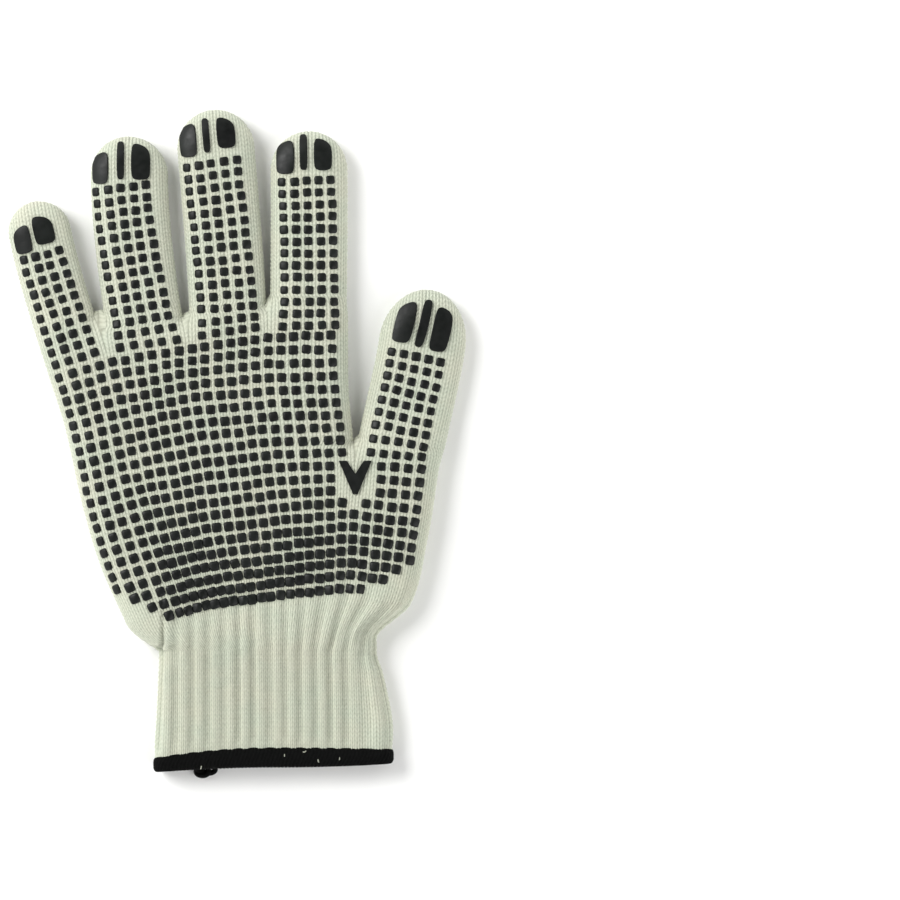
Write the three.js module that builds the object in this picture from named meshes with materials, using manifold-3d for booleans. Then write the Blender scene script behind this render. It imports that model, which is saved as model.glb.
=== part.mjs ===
import * as THREE from "three";
import { mergeVertices } from "three/addons/utils/BufferGeometryUtils.js";
import Module from "manifold-3d";

const wasm = await Module();
wasm.setup();

// Main sizes in millimetres. The glove lies palm up on z = 0, fingers along +Y, thumb on the +X side.
const PALM_WIDTH = 105.5;
const PALM_LENGTH = 115.4;
const PALM_DEPTH = 13;
const DIGIT_DEPTH = 10.4;
const CUFF_WIDTH = 77;
const CUFF_LENGTH = 35.3;
const CUFF_DEPTH = 11;
const HEM_HEIGHT = 6.9;
const WALL = 1.8;
const EDGE_ROUND = 9;
const UNDER_ROUND = 5;
const MID_SHARE = 0.42;

// Gaps between neighbouring pieces
const SEAM_GAP = 0.3;
const PAD_GAP = 0.25;
const WEDGE_GAP = 0.5;

// The fingers leave the hand this far above the finger lines
const ROOT_CUT = 1.6;

// Ribs of the cuff, all round
const RIBS = 30;
const RIB_RELIEF = 0.55;
const POINTS_PER_RIB = 4;

// Grip pads
const PAD_RELIEF = 0.7;

// Columns of the knit across the palm: the lines between the digits carry these numbers
const LINES = { edge: 0, little: 4, ring: 10, middle: 16, index: 22, thumb: 28 };

// Cross rows of the hand from the wrist to the finger roots. depth is a share of PALM_DEPTH; each line
// between two digits has its point [x, y], x as a share of PALM_WIDTH and y as a share of PALM_LENGTH.
const handRows = [
  { name: "wrist", depth: 0.88, edge: [-0.374, 0], little: [-0.266, 0], ring: [-0.109, 0],
    middle: [0.048, 0], index: [0.205, 0], thumb: [0.365, 0] },
  { name: "fold", depth: 0.97, edge: [-0.461, 0.055], little: [-0.3, 0.048], ring: [-0.13, 0.051],
    middle: [0.051, 0.061], index: [0.225, 0.068], thumb: [0.368, 0.06] },
  { name: "heel", depth: 1, edge: [-0.498, 0.101], little: [-0.328, 0.12], ring: [-0.143, 0.145],
    middle: [0.055, 0.167], index: [0.259, 0.178], thumb: [0.474, 0.145] },
  { name: "ball", depth: 1, edge: [-0.578, 0.26], little: [-0.403, 0.301], ring: [-0.196, 0.338],
    middle: [0.044, 0.363], index: [0.271, 0.382], thumb: [0.536, 0.348] },
  { name: "fork", depth: 0.97, edge: [-0.64, 0.448], little: [-0.466, 0.494], ring: [-0.23, 0.538],
    middle: [0.015, 0.566], index: [0.287, 0.576], thumb: [0.573, 0.56] },
  { name: "knuckle", depth: 0.92, edge: [-0.7, 0.691], little: [-0.52, 0.735], ring: [-0.275, 0.785],
    middle: [-0.014, 0.806], index: [0.266, 0.813] },
  { name: "root", depth: 0.84, edge: [-0.761, 0.869], little: [-0.558, 0.928], ring: [-0.276, 0.962],
    middle: [-0.009, 1], index: [0.264, 1.009] },
];

// Digits: width as a share of PALM_WIDTH, length as a share of PALM_LENGTH from the root row, tip length as
// a share of the half width, and the lean to the thumb side in degrees at the root, half way and the tip.
const digits = [
  { name: "little_finger", from: "edge", to: "little", row: "root",
    width: 0.212, length: 0.518, tip: 1, lean: [-18.5, -16, -9.5] },
  { name: "ring_finger", from: "little", to: "ring", row: "root",
    width: 0.261, length: 0.66, tip: 1, lean: [-9.8, -6, 2.5] },
  { name: "middle_finger", from: "ring", to: "middle", row: "root",
    width: 0.262, length: 0.705, tip: 1, lean: [-2, -4.6, -4.5] },
  { name: "index_finger", from: "middle", to: "index", row: "root",
    width: 0.26, length: 0.613, tip: 1, lean: [1, 0.3, -1] },
  { name: "thumb", from: "index", to: "thumb", row: "fork",
    width: 0.295, length: 0.564, tip: 1.25, lean: [11, 12.2, 0.5] },
];

// Folds of the hand cloth near the wrist: the column and height where each starts, its run across as a share
// of the columns under the fingers and up as a share of PALM_LENGTH, its half width in columns and its
// relief in millimetres
const folds = [
  { name: "gather_1", column: 3.2, start: 0, across: -0.03, up: 0.16, spread: 0.75, relief: 1.2 },
  { name: "gather_2", column: 6.6, start: 0, across: -0.03, up: 0.13, spread: 0.7, relief: 0.9 },
  { name: "gather_3", column: 10.2, start: 0, across: -0.02, up: 0.15, spread: 0.75, relief: 1.2 },
  { name: "gather_4", column: 13.6, start: 0, across: -0.01, up: 0.12, spread: 0.7, relief: 0.9 },
  { name: "gather_5", column: 17.2, start: 0, across: 0, up: 0.14, spread: 0.75, relief: 1.2 },
  { name: "gather_6", column: 20.8, start: 0, across: 0.03, up: 0.17, spread: 0.8, relief: 1.3 },
  { name: "thumb_fold", column: 23.6, start: 0, across: 0.12, up: 0.16, spread: 0.8, relief: 1.4 },
];

// Cuff rows from the wrist to the hem: width as a share of CUFF_WIDTH, centre x as a share of CUFF_WIDTH,
// place along the cuff and depth as a share of CUFF_DEPTH
const cuffRows = [
  { at: 0, width: 1, centre: -0.005, depth: 1 },
  { at: 0.16, width: 1.02, centre: -0.002, depth: 0.97 },
  { at: 0.4, width: 1.052, centre: 0.008, depth: 0.96 },
  { at: 0.7, width: 1.086, centre: 0.017, depth: 0.95 },
  { at: 1, width: 1.1, centre: 0.014, depth: 0.96 },
];

// Lower edge of the cuff: how far the little-finger end and the thumb end hang below the middle
const CUFF_DROP_LITTLE = 3.6;
const CUFF_DROP_THUMB = 0.5;

// Height of the hem at its two ends as a share of its height in the middle
const HEM_END_SHARE = 0.72;

// Rows of the hem band: place down its height and how far its face stands off the cuff cloth
const hemRows = [
  { at: 0, out: 0.2 },
  { at: 0.14, out: 0.7 },
  { at: 0.6, out: 0.75 },
  { at: 0.88, out: 0.35 },
  { at: 1, out: -0.5 },
];

// Pads near the fingertips: across from the digit's middle as a share of its half width, and the far and
// near ends measured from the tip as a share of the half width. Pads with a slant lean across by that share.
const pads = [
  { name: "little_pad_a", digit: "little_finger", across: [-0.83, -0.32], fromTip: [0.74, 1.56] },
  { name: "little_pad_b", digit: "little_finger", across: [-0.17, 0.38], fromTip: [0.52, 1.4] },
  { name: "ring_pad_a", digit: "ring_finger", across: [-0.86, -0.54], fromTip: [0.42, 1.2] },
  { name: "ring_bar", digit: "ring_finger", across: [-0.28, -0.08], fromTip: [0.16, 1.12] },
  { name: "ring_pad_b", digit: "ring_finger", across: [0.1, 0.55], fromTip: [0.16, 1.12] },
  { name: "middle_pad_a", digit: "middle_finger", across: [-0.88, -0.5], fromTip: [0.32, 1.18] },
  { name: "middle_bar", digit: "middle_finger", across: [-0.32, -0.13], fromTip: [0.22, 1.1] },
  { name: "middle_pad_b", digit: "middle_finger", across: [0.05, 0.5], fromTip: [0.22, 1.02] },
  { name: "index_pad_a", digit: "index_finger", across: [-0.79, -0.34], fromTip: [0.29, 1.1] },
  { name: "index_bar", digit: "index_finger", across: [-0.18, 0.03], fromTip: [0.1, 1.02] },
  { name: "index_pad_b", digit: "index_finger", across: [0.19, 0.64], fromTip: [0.21, 1.02] },
  { name: "thumb_pad_a", digit: "thumb", across: [-0.62, -0.2], fromTip: [0.34, 1.28],
    slant: 0.12 },
  { name: "thumb_bar", digit: "thumb", across: [-0.06, 0.14], fromTip: [0.28, 1.36], slant: 0.12 },
  { name: "thumb_pad_b", digit: "thumb", across: [0.27, 0.66], fromTip: [0.42, 1.4], slant: 0.12 },
];

// The far ends of a fingertip's pads step back along one dome: its height as a share of the half width, and
// the share of its round that the pads use. A slant turns about SLANT_FROM half widths from the tip.
const DOME_RISE = 0.45;
const DOME_REACH = 0.97;
const SLANT_FROM = 0.8;

// Notched wedge in the fork of the thumb: half its width, and its horns, notch and point above the fork
const WEDGE = { half: 6, horn: 1.7, notch: -2.2, point: -10.4, blunt: 0.14 };

// Knot of thread under the hem: its middle from the cuff's middle, its width and depth, and how far it hangs
const KNOT = { x: -23.5, width: 8.2, depth: 2.2, drop: 3 };

// How far pads stay inside the outline of a fingertip
const PAD_MARGIN = 1.1;

const lerp = (a, b, t) => a + (b - a) * t;
const clamp01 = (t) => Math.min(Math.max(t, 0), 1);
const smooth = (t) => clamp01(t) ** 2 * (3 - 2 * clamp01(t));

// Quarter-round profile: 0 at the edge, 1 from the distance reach inward
function roundOff(distance, reach) {
  return Math.sqrt(Math.max(0, 1 - (1 - clamp01(distance / reach)) ** 2));
}

// Cubic through the values at the stations xs, read at x
function curve(xs, values, x) {
  const last = xs.length - 1;
  let i = 0;
  while (i < last - 1 && x > xs[i + 1]) i += 1;
  const slope = (k) => {
    const a = Math.max(k - 1, 0);
    const b = Math.min(k + 1, last);
    return (values[b] - values[a]) / (xs[b] - xs[a]);
  };
  const h = xs[i + 1] - xs[i];
  const t = (x - xs[i]) / h;
  const a = 2 * t ** 3 - 3 * t ** 2 + 1;
  const b = t ** 3 - 2 * t ** 2 + t;
  const c = -2 * t ** 3 + 3 * t ** 2;
  const d = t ** 3 - t ** 2;
  return a * values[i] + b * h * slope(i) + c * values[i + 1] + d * h * slope(i + 1);
}

// Lines of the hand: for each line between digits its points over the height v of the rows
const lineNames = Object.keys(LINES);
const rowHeights = handRows.map((row) => row.little[1] * PALM_LENGTH);
const rowHeight = (name) => rowHeights[handRows.findIndex((row) => row.name === name)];
const FORK = rowHeight("fork");
const ROOTS = rowHeight("root");

// Point of a line at a height of the hand. The lining (inset > 0) lies inside the outer face.
function linePoint(name, v, inset) {
  const rows = handRows.filter((row) => row[name]);
  const at = rows.map((row) => rowHeight(row.name));
  const x = curve(at, rows.map((row) => row[name][0] * PALM_WIDTH), v);
  const y = curve(at, rows.map((row) => row[name][1] * PALM_LENGTH), v);
  const inward = { edge: 1, thumb: -1, index: -smooth((v - FORK) / (2 * WALL)) }[name] ?? 0;
  return [x + inward * inset, y - inset * smooth((2 * v) / FORK - 1)];
}

// The same point across the hand for a column number, straight between neighbouring lines
function handPlan(column, v, inset) {
  let k = 0;
  while (k < lineNames.length - 2 && column > LINES[lineNames[k + 1]]) k += 1;
  const [a, b] = [lineNames[k], lineNames[k + 1]];
  const t = (column - LINES[a]) / (LINES[b] - LINES[a]);
  const p = linePoint(a, v, inset);
  const q = linePoint(b, v, inset);
  return [lerp(p[0], q[0], t), lerp(p[1], q[1], t)];
}

// Relief of the folds at a column and height of the hand
function foldRelief(column, v) {
  let relief = 0;
  for (const fold of folds) {
    const along = (v / PALM_LENGTH - fold.start) / fold.up;
    const shift = fold.across * LINES.index * along;
    const off = (column - fold.column - shift) / fold.spread;
    const fade = clamp01(1 - along) * clamp01(along * 6 + 0.35);
    relief += fold.relief * fade * Math.exp(-off * off);
  }
  return relief;
}

function handDepth(v) {
  return PALM_DEPTH * curve(rowHeights, handRows.map((row) => row.depth), v);
}

// Height of the cloth over the plan, on top (palm side) and under, for the outer face or the lining
function heights(depth, edge, inset) {
  const mid = MID_SHARE * depth;
  const up = edge(EDGE_ROUND - inset);
  const down = edge(UNDER_ROUND - inset / 2);
  return { top: mid + (depth - inset - mid) * up, under: mid - (mid - inset) * down };
}

// Points where two digits part, at an inset
function forkPoints(inset) {
  const roots = ["little", "ring", "middle"].map((name) => linePoint(name, ROOTS, inset));
  return [...roots, linePoint("index", FORK, inset)];
}

// Hand body at a column and height. inset 0 is the outer face, WALL the lining.
function handPoint(column, v, inset) {
  const last = v > FORK ? LINES.index : LINES.thumb;
  const [x, y] = handPlan(column, v, inset);
  const edges = [...forkPoints(inset), handPlan(LINES.edge, v, inset), handPlan(last, v, inset)];
  const gaps = edges.map((p) => Math.hypot(x - p[0], y - p[1]));
  const edge = (reach) => gaps.reduce((product, d) => product * roundOff(d, reach), 1);
  const z = heights(handDepth(v), edge, inset);
  z.top += foldRelief(column, v) * edge(EDGE_ROUND);
  return { x, y, top: z.top, under: z.under };
}

const halfWidth = (digit) => (digit.width * PALM_WIDTH) / 2;
const tipStart = (digit) => digit.length * PALM_LENGTH - halfWidth(digit) * digit.tip;

// Middle line of a digit: the point and the lean at a distance from the root, measured on the outer face
function digitAxis(digit, along) {
  const v = rowHeight(digit.row);
  const a = linePoint(digit.from, v, 0);
  const b = linePoint(digit.to, v, 0);
  const length = digit.length * PALM_LENGTH;
  const leanAt = (s) => THREE.MathUtils.degToRad(curve([0, 0.5, 1], digit.lean, clamp01(s / length)));
  let x = (a[0] + b[0]) / 2;
  let y = (a[1] + b[1]) / 2;
  for (let i = 0; i < AXIS_STEPS; i += 1) {
    const lean = leanAt(((i + 0.5) / AXIS_STEPS) * along);
    x += (Math.sin(lean) * along) / AXIS_STEPS;
    y += (Math.cos(lean) * along) / AXIS_STEPS;
  }
  return { x, y, lean: leanAt(along) };
}

// Digit at a share of its width (-1 to 1) and a distance along its middle line from the root. The first
// cross row is the root row of the hand, and the tube settles to its own width and lean above it.
function digitPoint(digit, across, along, inset) {
  const v = rowHeight(digit.row);
  const a = linePoint(digit.from, v, inset);
  const b = linePoint(digit.to, v, inset);
  const chord = Math.hypot(b[0] - a[0], b[1] - a[1]);
  const half = halfWidth(digit);
  const settle = 1 - smooth((along + inset) / (0.9 * half));
  const body = lerp(half, chord / 2, settle) - inset * smooth((along + inset) / (1.2 * WALL));
  const tipShare = clamp01((along - tipStart(digit)) / (half * digit.tip - inset));
  const wide = body * Math.sqrt(1 - tipShare ** 2);
  const axis = digitAxis(digit, along);
  const root = digitAxis(digit, -inset);
  const angle = lerp(axis.lean, Math.atan2(a[1] - b[1], b[0] - a[0]), settle);
  const distance = body - Math.hypot(across * wide, tipShare * body);
  const depth = lerp(handDepth(v), DIGIT_DEPTH, smooth(along / (1.6 * half)));
  const z = heights(depth, (reach) => roundOff(distance, reach), inset);
  return {
    x: axis.x + ((a[0] + b[0]) / 2 - root.x) * settle + Math.cos(angle) * across * wide,
    y: axis.y + ((a[1] + b[1]) / 2 - root.y) * settle - Math.sin(angle) * across * wide,
    top: z.top,
    under: z.under,
  };
}

// Short steps that a digit's middle line is summed over
const AXIS_STEPS = 24;

// Steps of the outer face and of the lining: across a digit, up the hand below and above the thumb's fork,
// and over a round fingertip
const STEPS = {
  outer: {
    across: [-1, -0.93, -0.76, -0.42, 0, 0.42, 0.76, 0.93, 1],
    low: [0, 0.05, 0.11, 0.19, 0.29, 0.43, 0.6, 0.76, 0.9, 1],
    high: [0, 0.08, 0.26, 0.52, 0.76, 0.93, 1],
    tube: [0, 0.1, 0.24, 0.42, 0.62, 0.82, 1],
    tip: [0.3, 0.55, 0.75, 0.9, 0.98, 1],
  },
  lining: {
    across: [-1, -0.86, -0.42, 0.42, 0.86, 1],
    low: [0, 0.1, 0.22, 0.42, 0.66, 0.86, 1],
    high: [0, 0.12, 0.5, 0.88, 1],
    tube: [0, 0.2, 0.5, 1],
    tip: [0.4, 0.75, 0.95, 1],
  },
};
const stepsFor = (inset) => (inset > 0 ? STEPS.lining : STEPS.outer);

// Patches of cloth: grids of points with top and underside
function handPatches(inset) {
  const steps = stepsFor(inset);
  const columnsOf = (digit) =>
    steps.across.map((s) => lerp(LINES[digit.from], LINES[digit.to], (s + 1) / 2));
  const columns = [...new Set(digits.flatMap(columnsOf))].sort((a, b) => a - b);
  const upper = columns.filter((c) => c <= LINES.index);
  const low = steps.low.map((t) => columns.map((c) => handPoint(c, t * FORK, inset)));
  const high = steps.high.map((t) => upper.map((c) => handPoint(c, lerp(FORK, ROOTS, t), inset)));
  return { low, high };
}

// Grid of a digit between two distances from the root
function tubePatch(digit, stations, inset) {
  const { across } = stepsFor(inset);
  return stations.map((s) => across.map((a) => digitPoint(digit, a, s, inset)));
}

// Triangles of a patch: its top, its underside and the upright strips that close its start, end or sides
function addPatch(triangles, grid, close) {
  const rows = grid.length - 1;
  const cells = grid[0].length - 1;
  const at = (i, j, face) => [grid[i][j].x, grid[i][j].y, grid[i][j][face]];
  const quad = (a, b, c, d) => triangles.push([a, b, c], [a, c, d]);
  const strip = (a, b) => quad(at(...a, "under"), at(...b, "under"), at(...b, "top"), at(...a, "top"));
  for (let i = 0; i < rows; i += 1) {
    for (let j = 0; j < cells; j += 1) {
      quad(at(i, j, "top"), at(i, j + 1, "top"), at(i + 1, j + 1, "top"), at(i + 1, j, "top"));
      quad(at(i, j, "under"), at(i + 1, j, "under"), at(i + 1, j + 1, "under"), at(i, j + 1, "under"));
    }
    if (close.sides) strip([i + 1, 0], [i, 0]);
    if (close.sides) strip([i, cells], [i + 1, cells]);
  }
  for (let j = 0; j < cells; j += 1) {
    if (close.start) strip([0, j], [0, j + 1]);
    if (close.end) strip([rows, j + 1], [rows, j]);
  }
}

// Triangles of a flat tube given as closed loops of points, with its two ends closed
function addLoops(triangles, loops) {
  const count = loops[0].length;
  const quad = (a, b, c, d) => triangles.push([a, b, c], [a, c, d]);
  for (let i = 0; i < loops.length - 1; i += 1) {
    for (let j = 0; j < count; j += 1) {
      const k = (j + 1) % count;
      quad(loops[i][j], loops[i + 1][j], loops[i + 1][k], loops[i][k]);
    }
  }
  const [first, last] = [loops[0], loops[loops.length - 1]];
  for (let j = 0; j < count / 2; j += 1) {
    const k = (count - j) % count;
    quad(first[j], first[j + 1], first[k - 1 < 0 ? count - 1 : k - 1], first[k]);
    quad(last[k], last[k - 1 < 0 ? count - 1 : k - 1], last[j + 1], last[j]);
  }
}

// Closed solid of a geometry or of loose triangles
function geometrySolid(geometry) {
  const bare = new THREE.BufferGeometry();
  bare.setAttribute("position", geometry.getAttribute("position"));
  bare.setIndex(geometry.index);
  const merged = mergeVertices(bare, 1e-3);
  const index = merged.index.array;
  const kept = [];
  for (let i = 0; i < index.length; i += 3) {
    const [a, b, c] = [index[i], index[i + 1], index[i + 2]];
    if (a !== b && b !== c && a !== c) kept.push(a, b, c);
  }
  const mesh = new wasm.Mesh({
    numProp: 3,
    vertProperties: merged.attributes.position.array,
    triVerts: new Uint32Array(kept),
  });
  return new wasm.Manifold(mesh);
}

function solidOf(triangles) {
  const soup = new THREE.BufferGeometry();
  soup.setAttribute("position", new THREE.Float32BufferAttribute(triangles.flat(2), 3));
  return geometrySolid(soup);
}

function geometryOf(solid) {
  const mesh = solid.getMesh();
  const geometry = new THREE.BufferGeometry();
  geometry.setAttribute("position", new THREE.BufferAttribute(mesh.vertProperties, 3));
  geometry.setIndex(new THREE.BufferAttribute(mesh.triVerts, 1));
  return geometry;
}

// Hand body with short finger roots, at an inset and with its open ends run out by reach
function handSolid(inset, reach) {
  const triangles = [];
  const { low, high } = handPatches(inset);
  if (reach > 0) low.unshift(low[0].map((p) => ({ ...p, y: p.y - reach })));
  addPatch(triangles, low, { start: true });
  addPatch(triangles, high, {});
  const end = ROOT_CUT - SEAM_GAP / 2 + reach;
  for (const digit of digits) addPatch(triangles, tubePatch(digit, [-inset, end], inset), { end: true });
  return solidOf(triangles);
}

// Digit tube above the root cut
function digitSolid(digit, inset, reach) {
  const steps = stepsFor(inset);
  const start = ROOT_CUT + SEAM_GAP / 2 - reach;
  const stations = steps.tube.map((t) => lerp(start, tipStart(digit), t));
  const room = halfWidth(digit) * digit.tip - inset;
  stations.push(...steps.tip.map((t) => tipStart(digit) + t * room));
  const triangles = [];
  addPatch(triangles, tubePatch(digit, stations, inset), { start: true });
  return solidOf(triangles);
}

// Step back of a pad's far end at a share across the digit
function domeDrop(pad, across) {
  const group = pads.filter((other) => other.digit === pad.digit);
  const left = Math.min(...group.map((other) => other.across[0]));
  const right = Math.max(...group.map((other) => other.across[1]));
  const share = (2 * across - left - right) / (right - left);
  return DOME_RISE * (1 - Math.sqrt(1 - (DOME_REACH * share) ** 2));
}

// Pad on a digit: a thin slab over the cloth with its corners drawn in
function padSolid(pad) {
  const digit = digits.find((d) => d.name === pad.digit);
  const half = halfWidth(digit);
  const length = digit.length * PALM_LENGTH;
  const wide = pad.across[1] - pad.across[0] > 0.3;
  const steps = { across: wide ? [0, 0.33, 0.67, 1] : [0, 0.5, 1], along: [0, 0.2, 0.5, 0.8, 1] };
  const grid = steps.along.map((b) =>
    steps.across.map((a) => {
      const soft = 1 - 0.16 * (4 * Math.abs(a - 0.5) * Math.abs(b - 0.5)) ** 3;
      const across = lerp(pad.across[0], pad.across[1], 0.5 + (a - 0.5) * soft);
      const far = pad.fromTip[0] + domeDrop(pad, across);
      const fromTip = lerp(pad.fromTip[1], far, 0.5 + (b - 0.5) * soft);
      const along = length - half * fromTip;
      const tipShare = clamp01((along - tipStart(digit)) / (half * digit.tip));
      const reach = half * Math.sqrt(1 - tipShare ** 2);
      const off = half * (across - (pad.slant ?? 0) * (fromTip - SLANT_FROM));
      const kept = Math.min(Math.max(off, PAD_MARGIN - reach), reach - PAD_MARGIN);
      const p = digitPoint(digit, kept / reach, along, 0);
      return { x: p.x, y: p.y, under: p.top + PAD_GAP, top: p.top + PAD_GAP + PAD_RELIEF };
    }),
  );
  const triangles = [];
  addPatch(triangles, grid, { start: true, end: true, sides: true });
  return solidOf(triangles);
}

// Notched wedge, draped over the dip under the fork
function wedgeSolid() {
  const [fx, fy] = linePoint("index", FORK, 0);
  const grid = [0, 0.3, 0.6, 0.85, 1].map((b) =>
    [-1, -0.5, 0, 0.5, 1].map((a) => {
      const x = a * WEDGE.half * lerp(WEDGE.blunt, 1, b);
      const top = lerp(WEDGE.notch, WEDGE.horn, Math.min(1, 2 * Math.abs(a)));
      const y = lerp(WEDGE.point, top, b);
      const distance = Math.hypot(x, Math.min(0, y));
      const depth = handDepth(FORK + Math.min(0, y));
      const cloth = heights(depth, (reach) => roundOff(distance, reach), 0).top + WEDGE_GAP;
      return { x: fx + x, y: fy + y, under: cloth, top: cloth + PAD_RELIEF };
    }),
  );
  const triangles = [];
  addPatch(triangles, grid, { start: true, end: true, sides: true });
  return solidOf(triangles);
}

// Point of a flat tube's cross row, a share of the way round from its little-finger edge over the top, and
// standing out from the row by out
function loopPoint(width, depth, share, out) {
  const radius = depth / 2;
  const straight = width - depth;
  const corner = (Math.PI * radius) / 2;
  const side = share < 0.5 ? 1 : -1;
  const s = (share < 0.5 ? share : share - 0.5) * 2 * (straight + 2 * corner);
  let x = s - corner - straight / 2;
  let angle = 0;
  if (s < corner) {
    x = -straight / 2;
    angle = (s - corner) / radius;
  } else if (s > corner + straight) {
    x = straight / 2;
    angle = (s - corner - straight) / radius;
  }
  const reach = radius + out;
  return { x: side * (x + Math.sin(angle) * reach), z: side * Math.cos(angle) * reach };
}

const cuffValue = (name, t) => curve(cuffRows.map((row) => row.at), cuffRows.map((row) => row[name]), t);
const cuffCentre = (t) => CUFF_WIDTH * cuffValue("centre", t);
const cuffWidth = (t) => CUFF_WIDTH * cuffValue("width", t);

// Lower edge of the cuff below the wrist, and height of the hem, for an x across the cuff
function cuffEnd(x) {
  const across = (x - cuffCentre(1)) / (cuffWidth(1) / 2);
  return CUFF_LENGTH + (across < 0 ? CUFF_DROP_LITTLE : CUFF_DROP_THUMB) * across ** 2;
}

function hemHeight(x) {
  const across = (x - cuffCentre(1)) / (cuffWidth(1) / 2);
  return HEM_HEIGHT * (1 - (1 - HEM_END_SHARE) * across ** 2);
}

// One loop of the cuff or hem. place gives the y for an x, out the stand-off for a share round the loop.
function cuffLoop(t, count, out, place) {
  const depth = CUFF_DEPTH * cuffValue("depth", t);
  return Array.from({ length: count }, (_, j) => {
    const p = loopPoint(cuffWidth(t), depth, j / count, out(j / count));
    const x = cuffCentre(t) + p.x;
    return [x, place(x), Math.max(depth / 2 + p.z, out(j / count) < -RIB_RELIEF ? WALL : 0)];
  });
}

const ribOut = (share) => RIB_RELIEF * Math.cos(2 * Math.PI * RIBS * share);
const CUFF_TOP = -SEAM_GAP;
const LINING_POINTS = 44;

function cuffSolid() {
  const outer = [];
  const steps = [0, 0.08, 0.2, 0.45, 0.72, 1];
  const yAt = (t) => (x) => lerp(CUFF_TOP, -cuffEnd(x), t);
  addLoops(outer, steps.map((t) => cuffLoop(t, RIBS * POINTS_PER_RIB, ribOut, yAt(t))));
  const inner = [];
  const inset = () => -WALL;
  const run = [-0.05, 0.3, 0.7, 1.05];
  addLoops(inner, run.map((t) => cuffLoop(clamp01(t), LINING_POINTS, inset, yAt(t))));
  return solidOf(outer).subtract(solidOf(inner));
}

function hemSolid() {
  const outer = [];
  const yAt = (t) => (x) => -cuffEnd(x) - SEAM_GAP - t * hemHeight(x);
  const count = RIBS * 2;
  addLoops(outer, hemRows.map((row) => cuffLoop(1, count, () => row.out, yAt(row.at))));
  const inner = [];
  addLoops(inner, [-0.3, 1.3].map((t) => cuffLoop(1, LINING_POINTS, () => -WALL, yAt(t))));
  const ball = new THREE.SphereGeometry(1, 12, 8);
  const x = cuffCentre(1) + KNOT.x;
  const y = -cuffEnd(x) - SEAM_GAP - hemHeight(x);
  ball.scale(KNOT.width / 2, KNOT.drop, KNOT.depth / 2);
  ball.translate(x, y, KNOT.depth / 2 + 0.1);
  return solidOf(outer).add(geometrySolid(ball)).subtract(solidOf(inner));
}

const nodes = [];
nodes.push(["palm", handSolid(0, 0).subtract(handSolid(WALL, 1)), "knit"]);
for (const digit of digits) {
  nodes.push([digit.name, digitSolid(digit, 0, 0).subtract(digitSolid(digit, WALL, 1)), "knit"]);
}
nodes.push(["rib_cuff", cuffSolid(), "knit"]);
nodes.push(["hem", hemSolid(), "thread"]);
for (const pad of pads) nodes.push([pad.name, padSolid(pad), "rubber"]);
nodes.push(["crotch_pad", wedgeSolid(), "rubber"]);

const materials = {
  knit: new THREE.MeshStandardMaterial({ color: 0xc6cab8, roughness: 0.95, metalness: 0 }),
  rubber: new THREE.MeshStandardMaterial({ color: 0x1d201e, roughness: 0.6, metalness: 0 }),
  thread: new THREE.MeshStandardMaterial({ color: 0x101110, roughness: 0.9, metalness: 0 }),
};

const glove = new THREE.Group();
glove.name = "work_glove";
for (const [name, solid, kind] of nodes) {
  const mesh = new THREE.Mesh(geometryOf(solid), materials[kind].clone());
  mesh.name = name;
  glove.add(mesh);
}

// The origin is the middle of the footprint
const box = new THREE.Box3().setFromObject(glove);
const centre = box.getCenter(new THREE.Vector3());
for (const mesh of glove.children) mesh.geometry.translate(-centre.x, -centre.y, -box.min.z);

export default glove;
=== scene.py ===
"""A cotton work glove of string knit with a dotted grip palm, laid flat with the palm up.

The cloth is built from the hand's own pattern: the lines between the digits, the rows across the palm and
the middle line of each digit. Every stitch is a place on that pattern, so the wales and courses of the knit,
the ribs of the cuff and the grip dots all follow the hand.
"""

import logging
import math
from dataclasses import dataclass, field
from enum import Enum
from typing import Callable, Iterable, Sequence

import bpy
import numpy as np
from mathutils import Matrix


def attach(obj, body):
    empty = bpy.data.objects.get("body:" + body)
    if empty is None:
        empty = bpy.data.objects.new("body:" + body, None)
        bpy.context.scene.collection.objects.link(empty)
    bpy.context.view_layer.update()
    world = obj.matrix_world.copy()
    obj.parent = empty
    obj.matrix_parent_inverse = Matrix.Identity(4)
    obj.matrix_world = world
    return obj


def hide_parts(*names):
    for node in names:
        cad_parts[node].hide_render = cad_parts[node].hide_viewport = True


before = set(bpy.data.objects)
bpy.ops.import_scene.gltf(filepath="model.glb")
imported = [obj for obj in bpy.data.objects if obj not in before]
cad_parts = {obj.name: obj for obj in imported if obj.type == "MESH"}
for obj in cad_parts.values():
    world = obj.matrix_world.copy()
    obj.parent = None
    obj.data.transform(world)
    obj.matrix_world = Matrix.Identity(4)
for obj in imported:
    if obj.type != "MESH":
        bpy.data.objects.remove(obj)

log = logging.getLogger("work_glove")

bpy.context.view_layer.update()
MM = 0.001

# A distance past every edge in millimetres, and a length that is safe to divide by
FAR = 1e3
TINY = 1e-9

# Decimals of a millimetre to which points count as one: in a mesh, and where pieces meet
MESH_DECIMALS = 4
SEAM_DECIMALS = 3

# Samples that place even steps across a row
EVEN_SAMPLES = 129

# Grains that show side by side in one cell of a noise, and the values that most of a noise lies between
GRAINS_PER_CELL = 3
NOISE_SPAN = (0.3, 0.7)

Floats = np.ndarray


class Line(Enum):
    """Lines of the hand that bound the digits, with their columns across the palm."""

    EDGE = 0
    LITTLE = 4
    RING = 10
    MIDDLE = 16
    INDEX = 22
    THUMB = 28


class Face(Enum):
    """The two faces of the flat glove, with the samples that each wale of knit gets."""

    PALM_SIDE = 4
    BACK = 2


class Slot(Enum):
    """Finishes that the record names."""

    KNIT = "knit"
    HEM = "hem_thread"
    GRIP = "grip"


def clamp(t: Floats) -> Floats:
    """A share held between 0 and 1."""
    return np.clip(t, 0.0, 1.0)


def smooth(t: Floats) -> Floats:
    """A share eased in and out."""
    return clamp(t) ** 2 * (3 - 2 * clamp(t))


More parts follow.
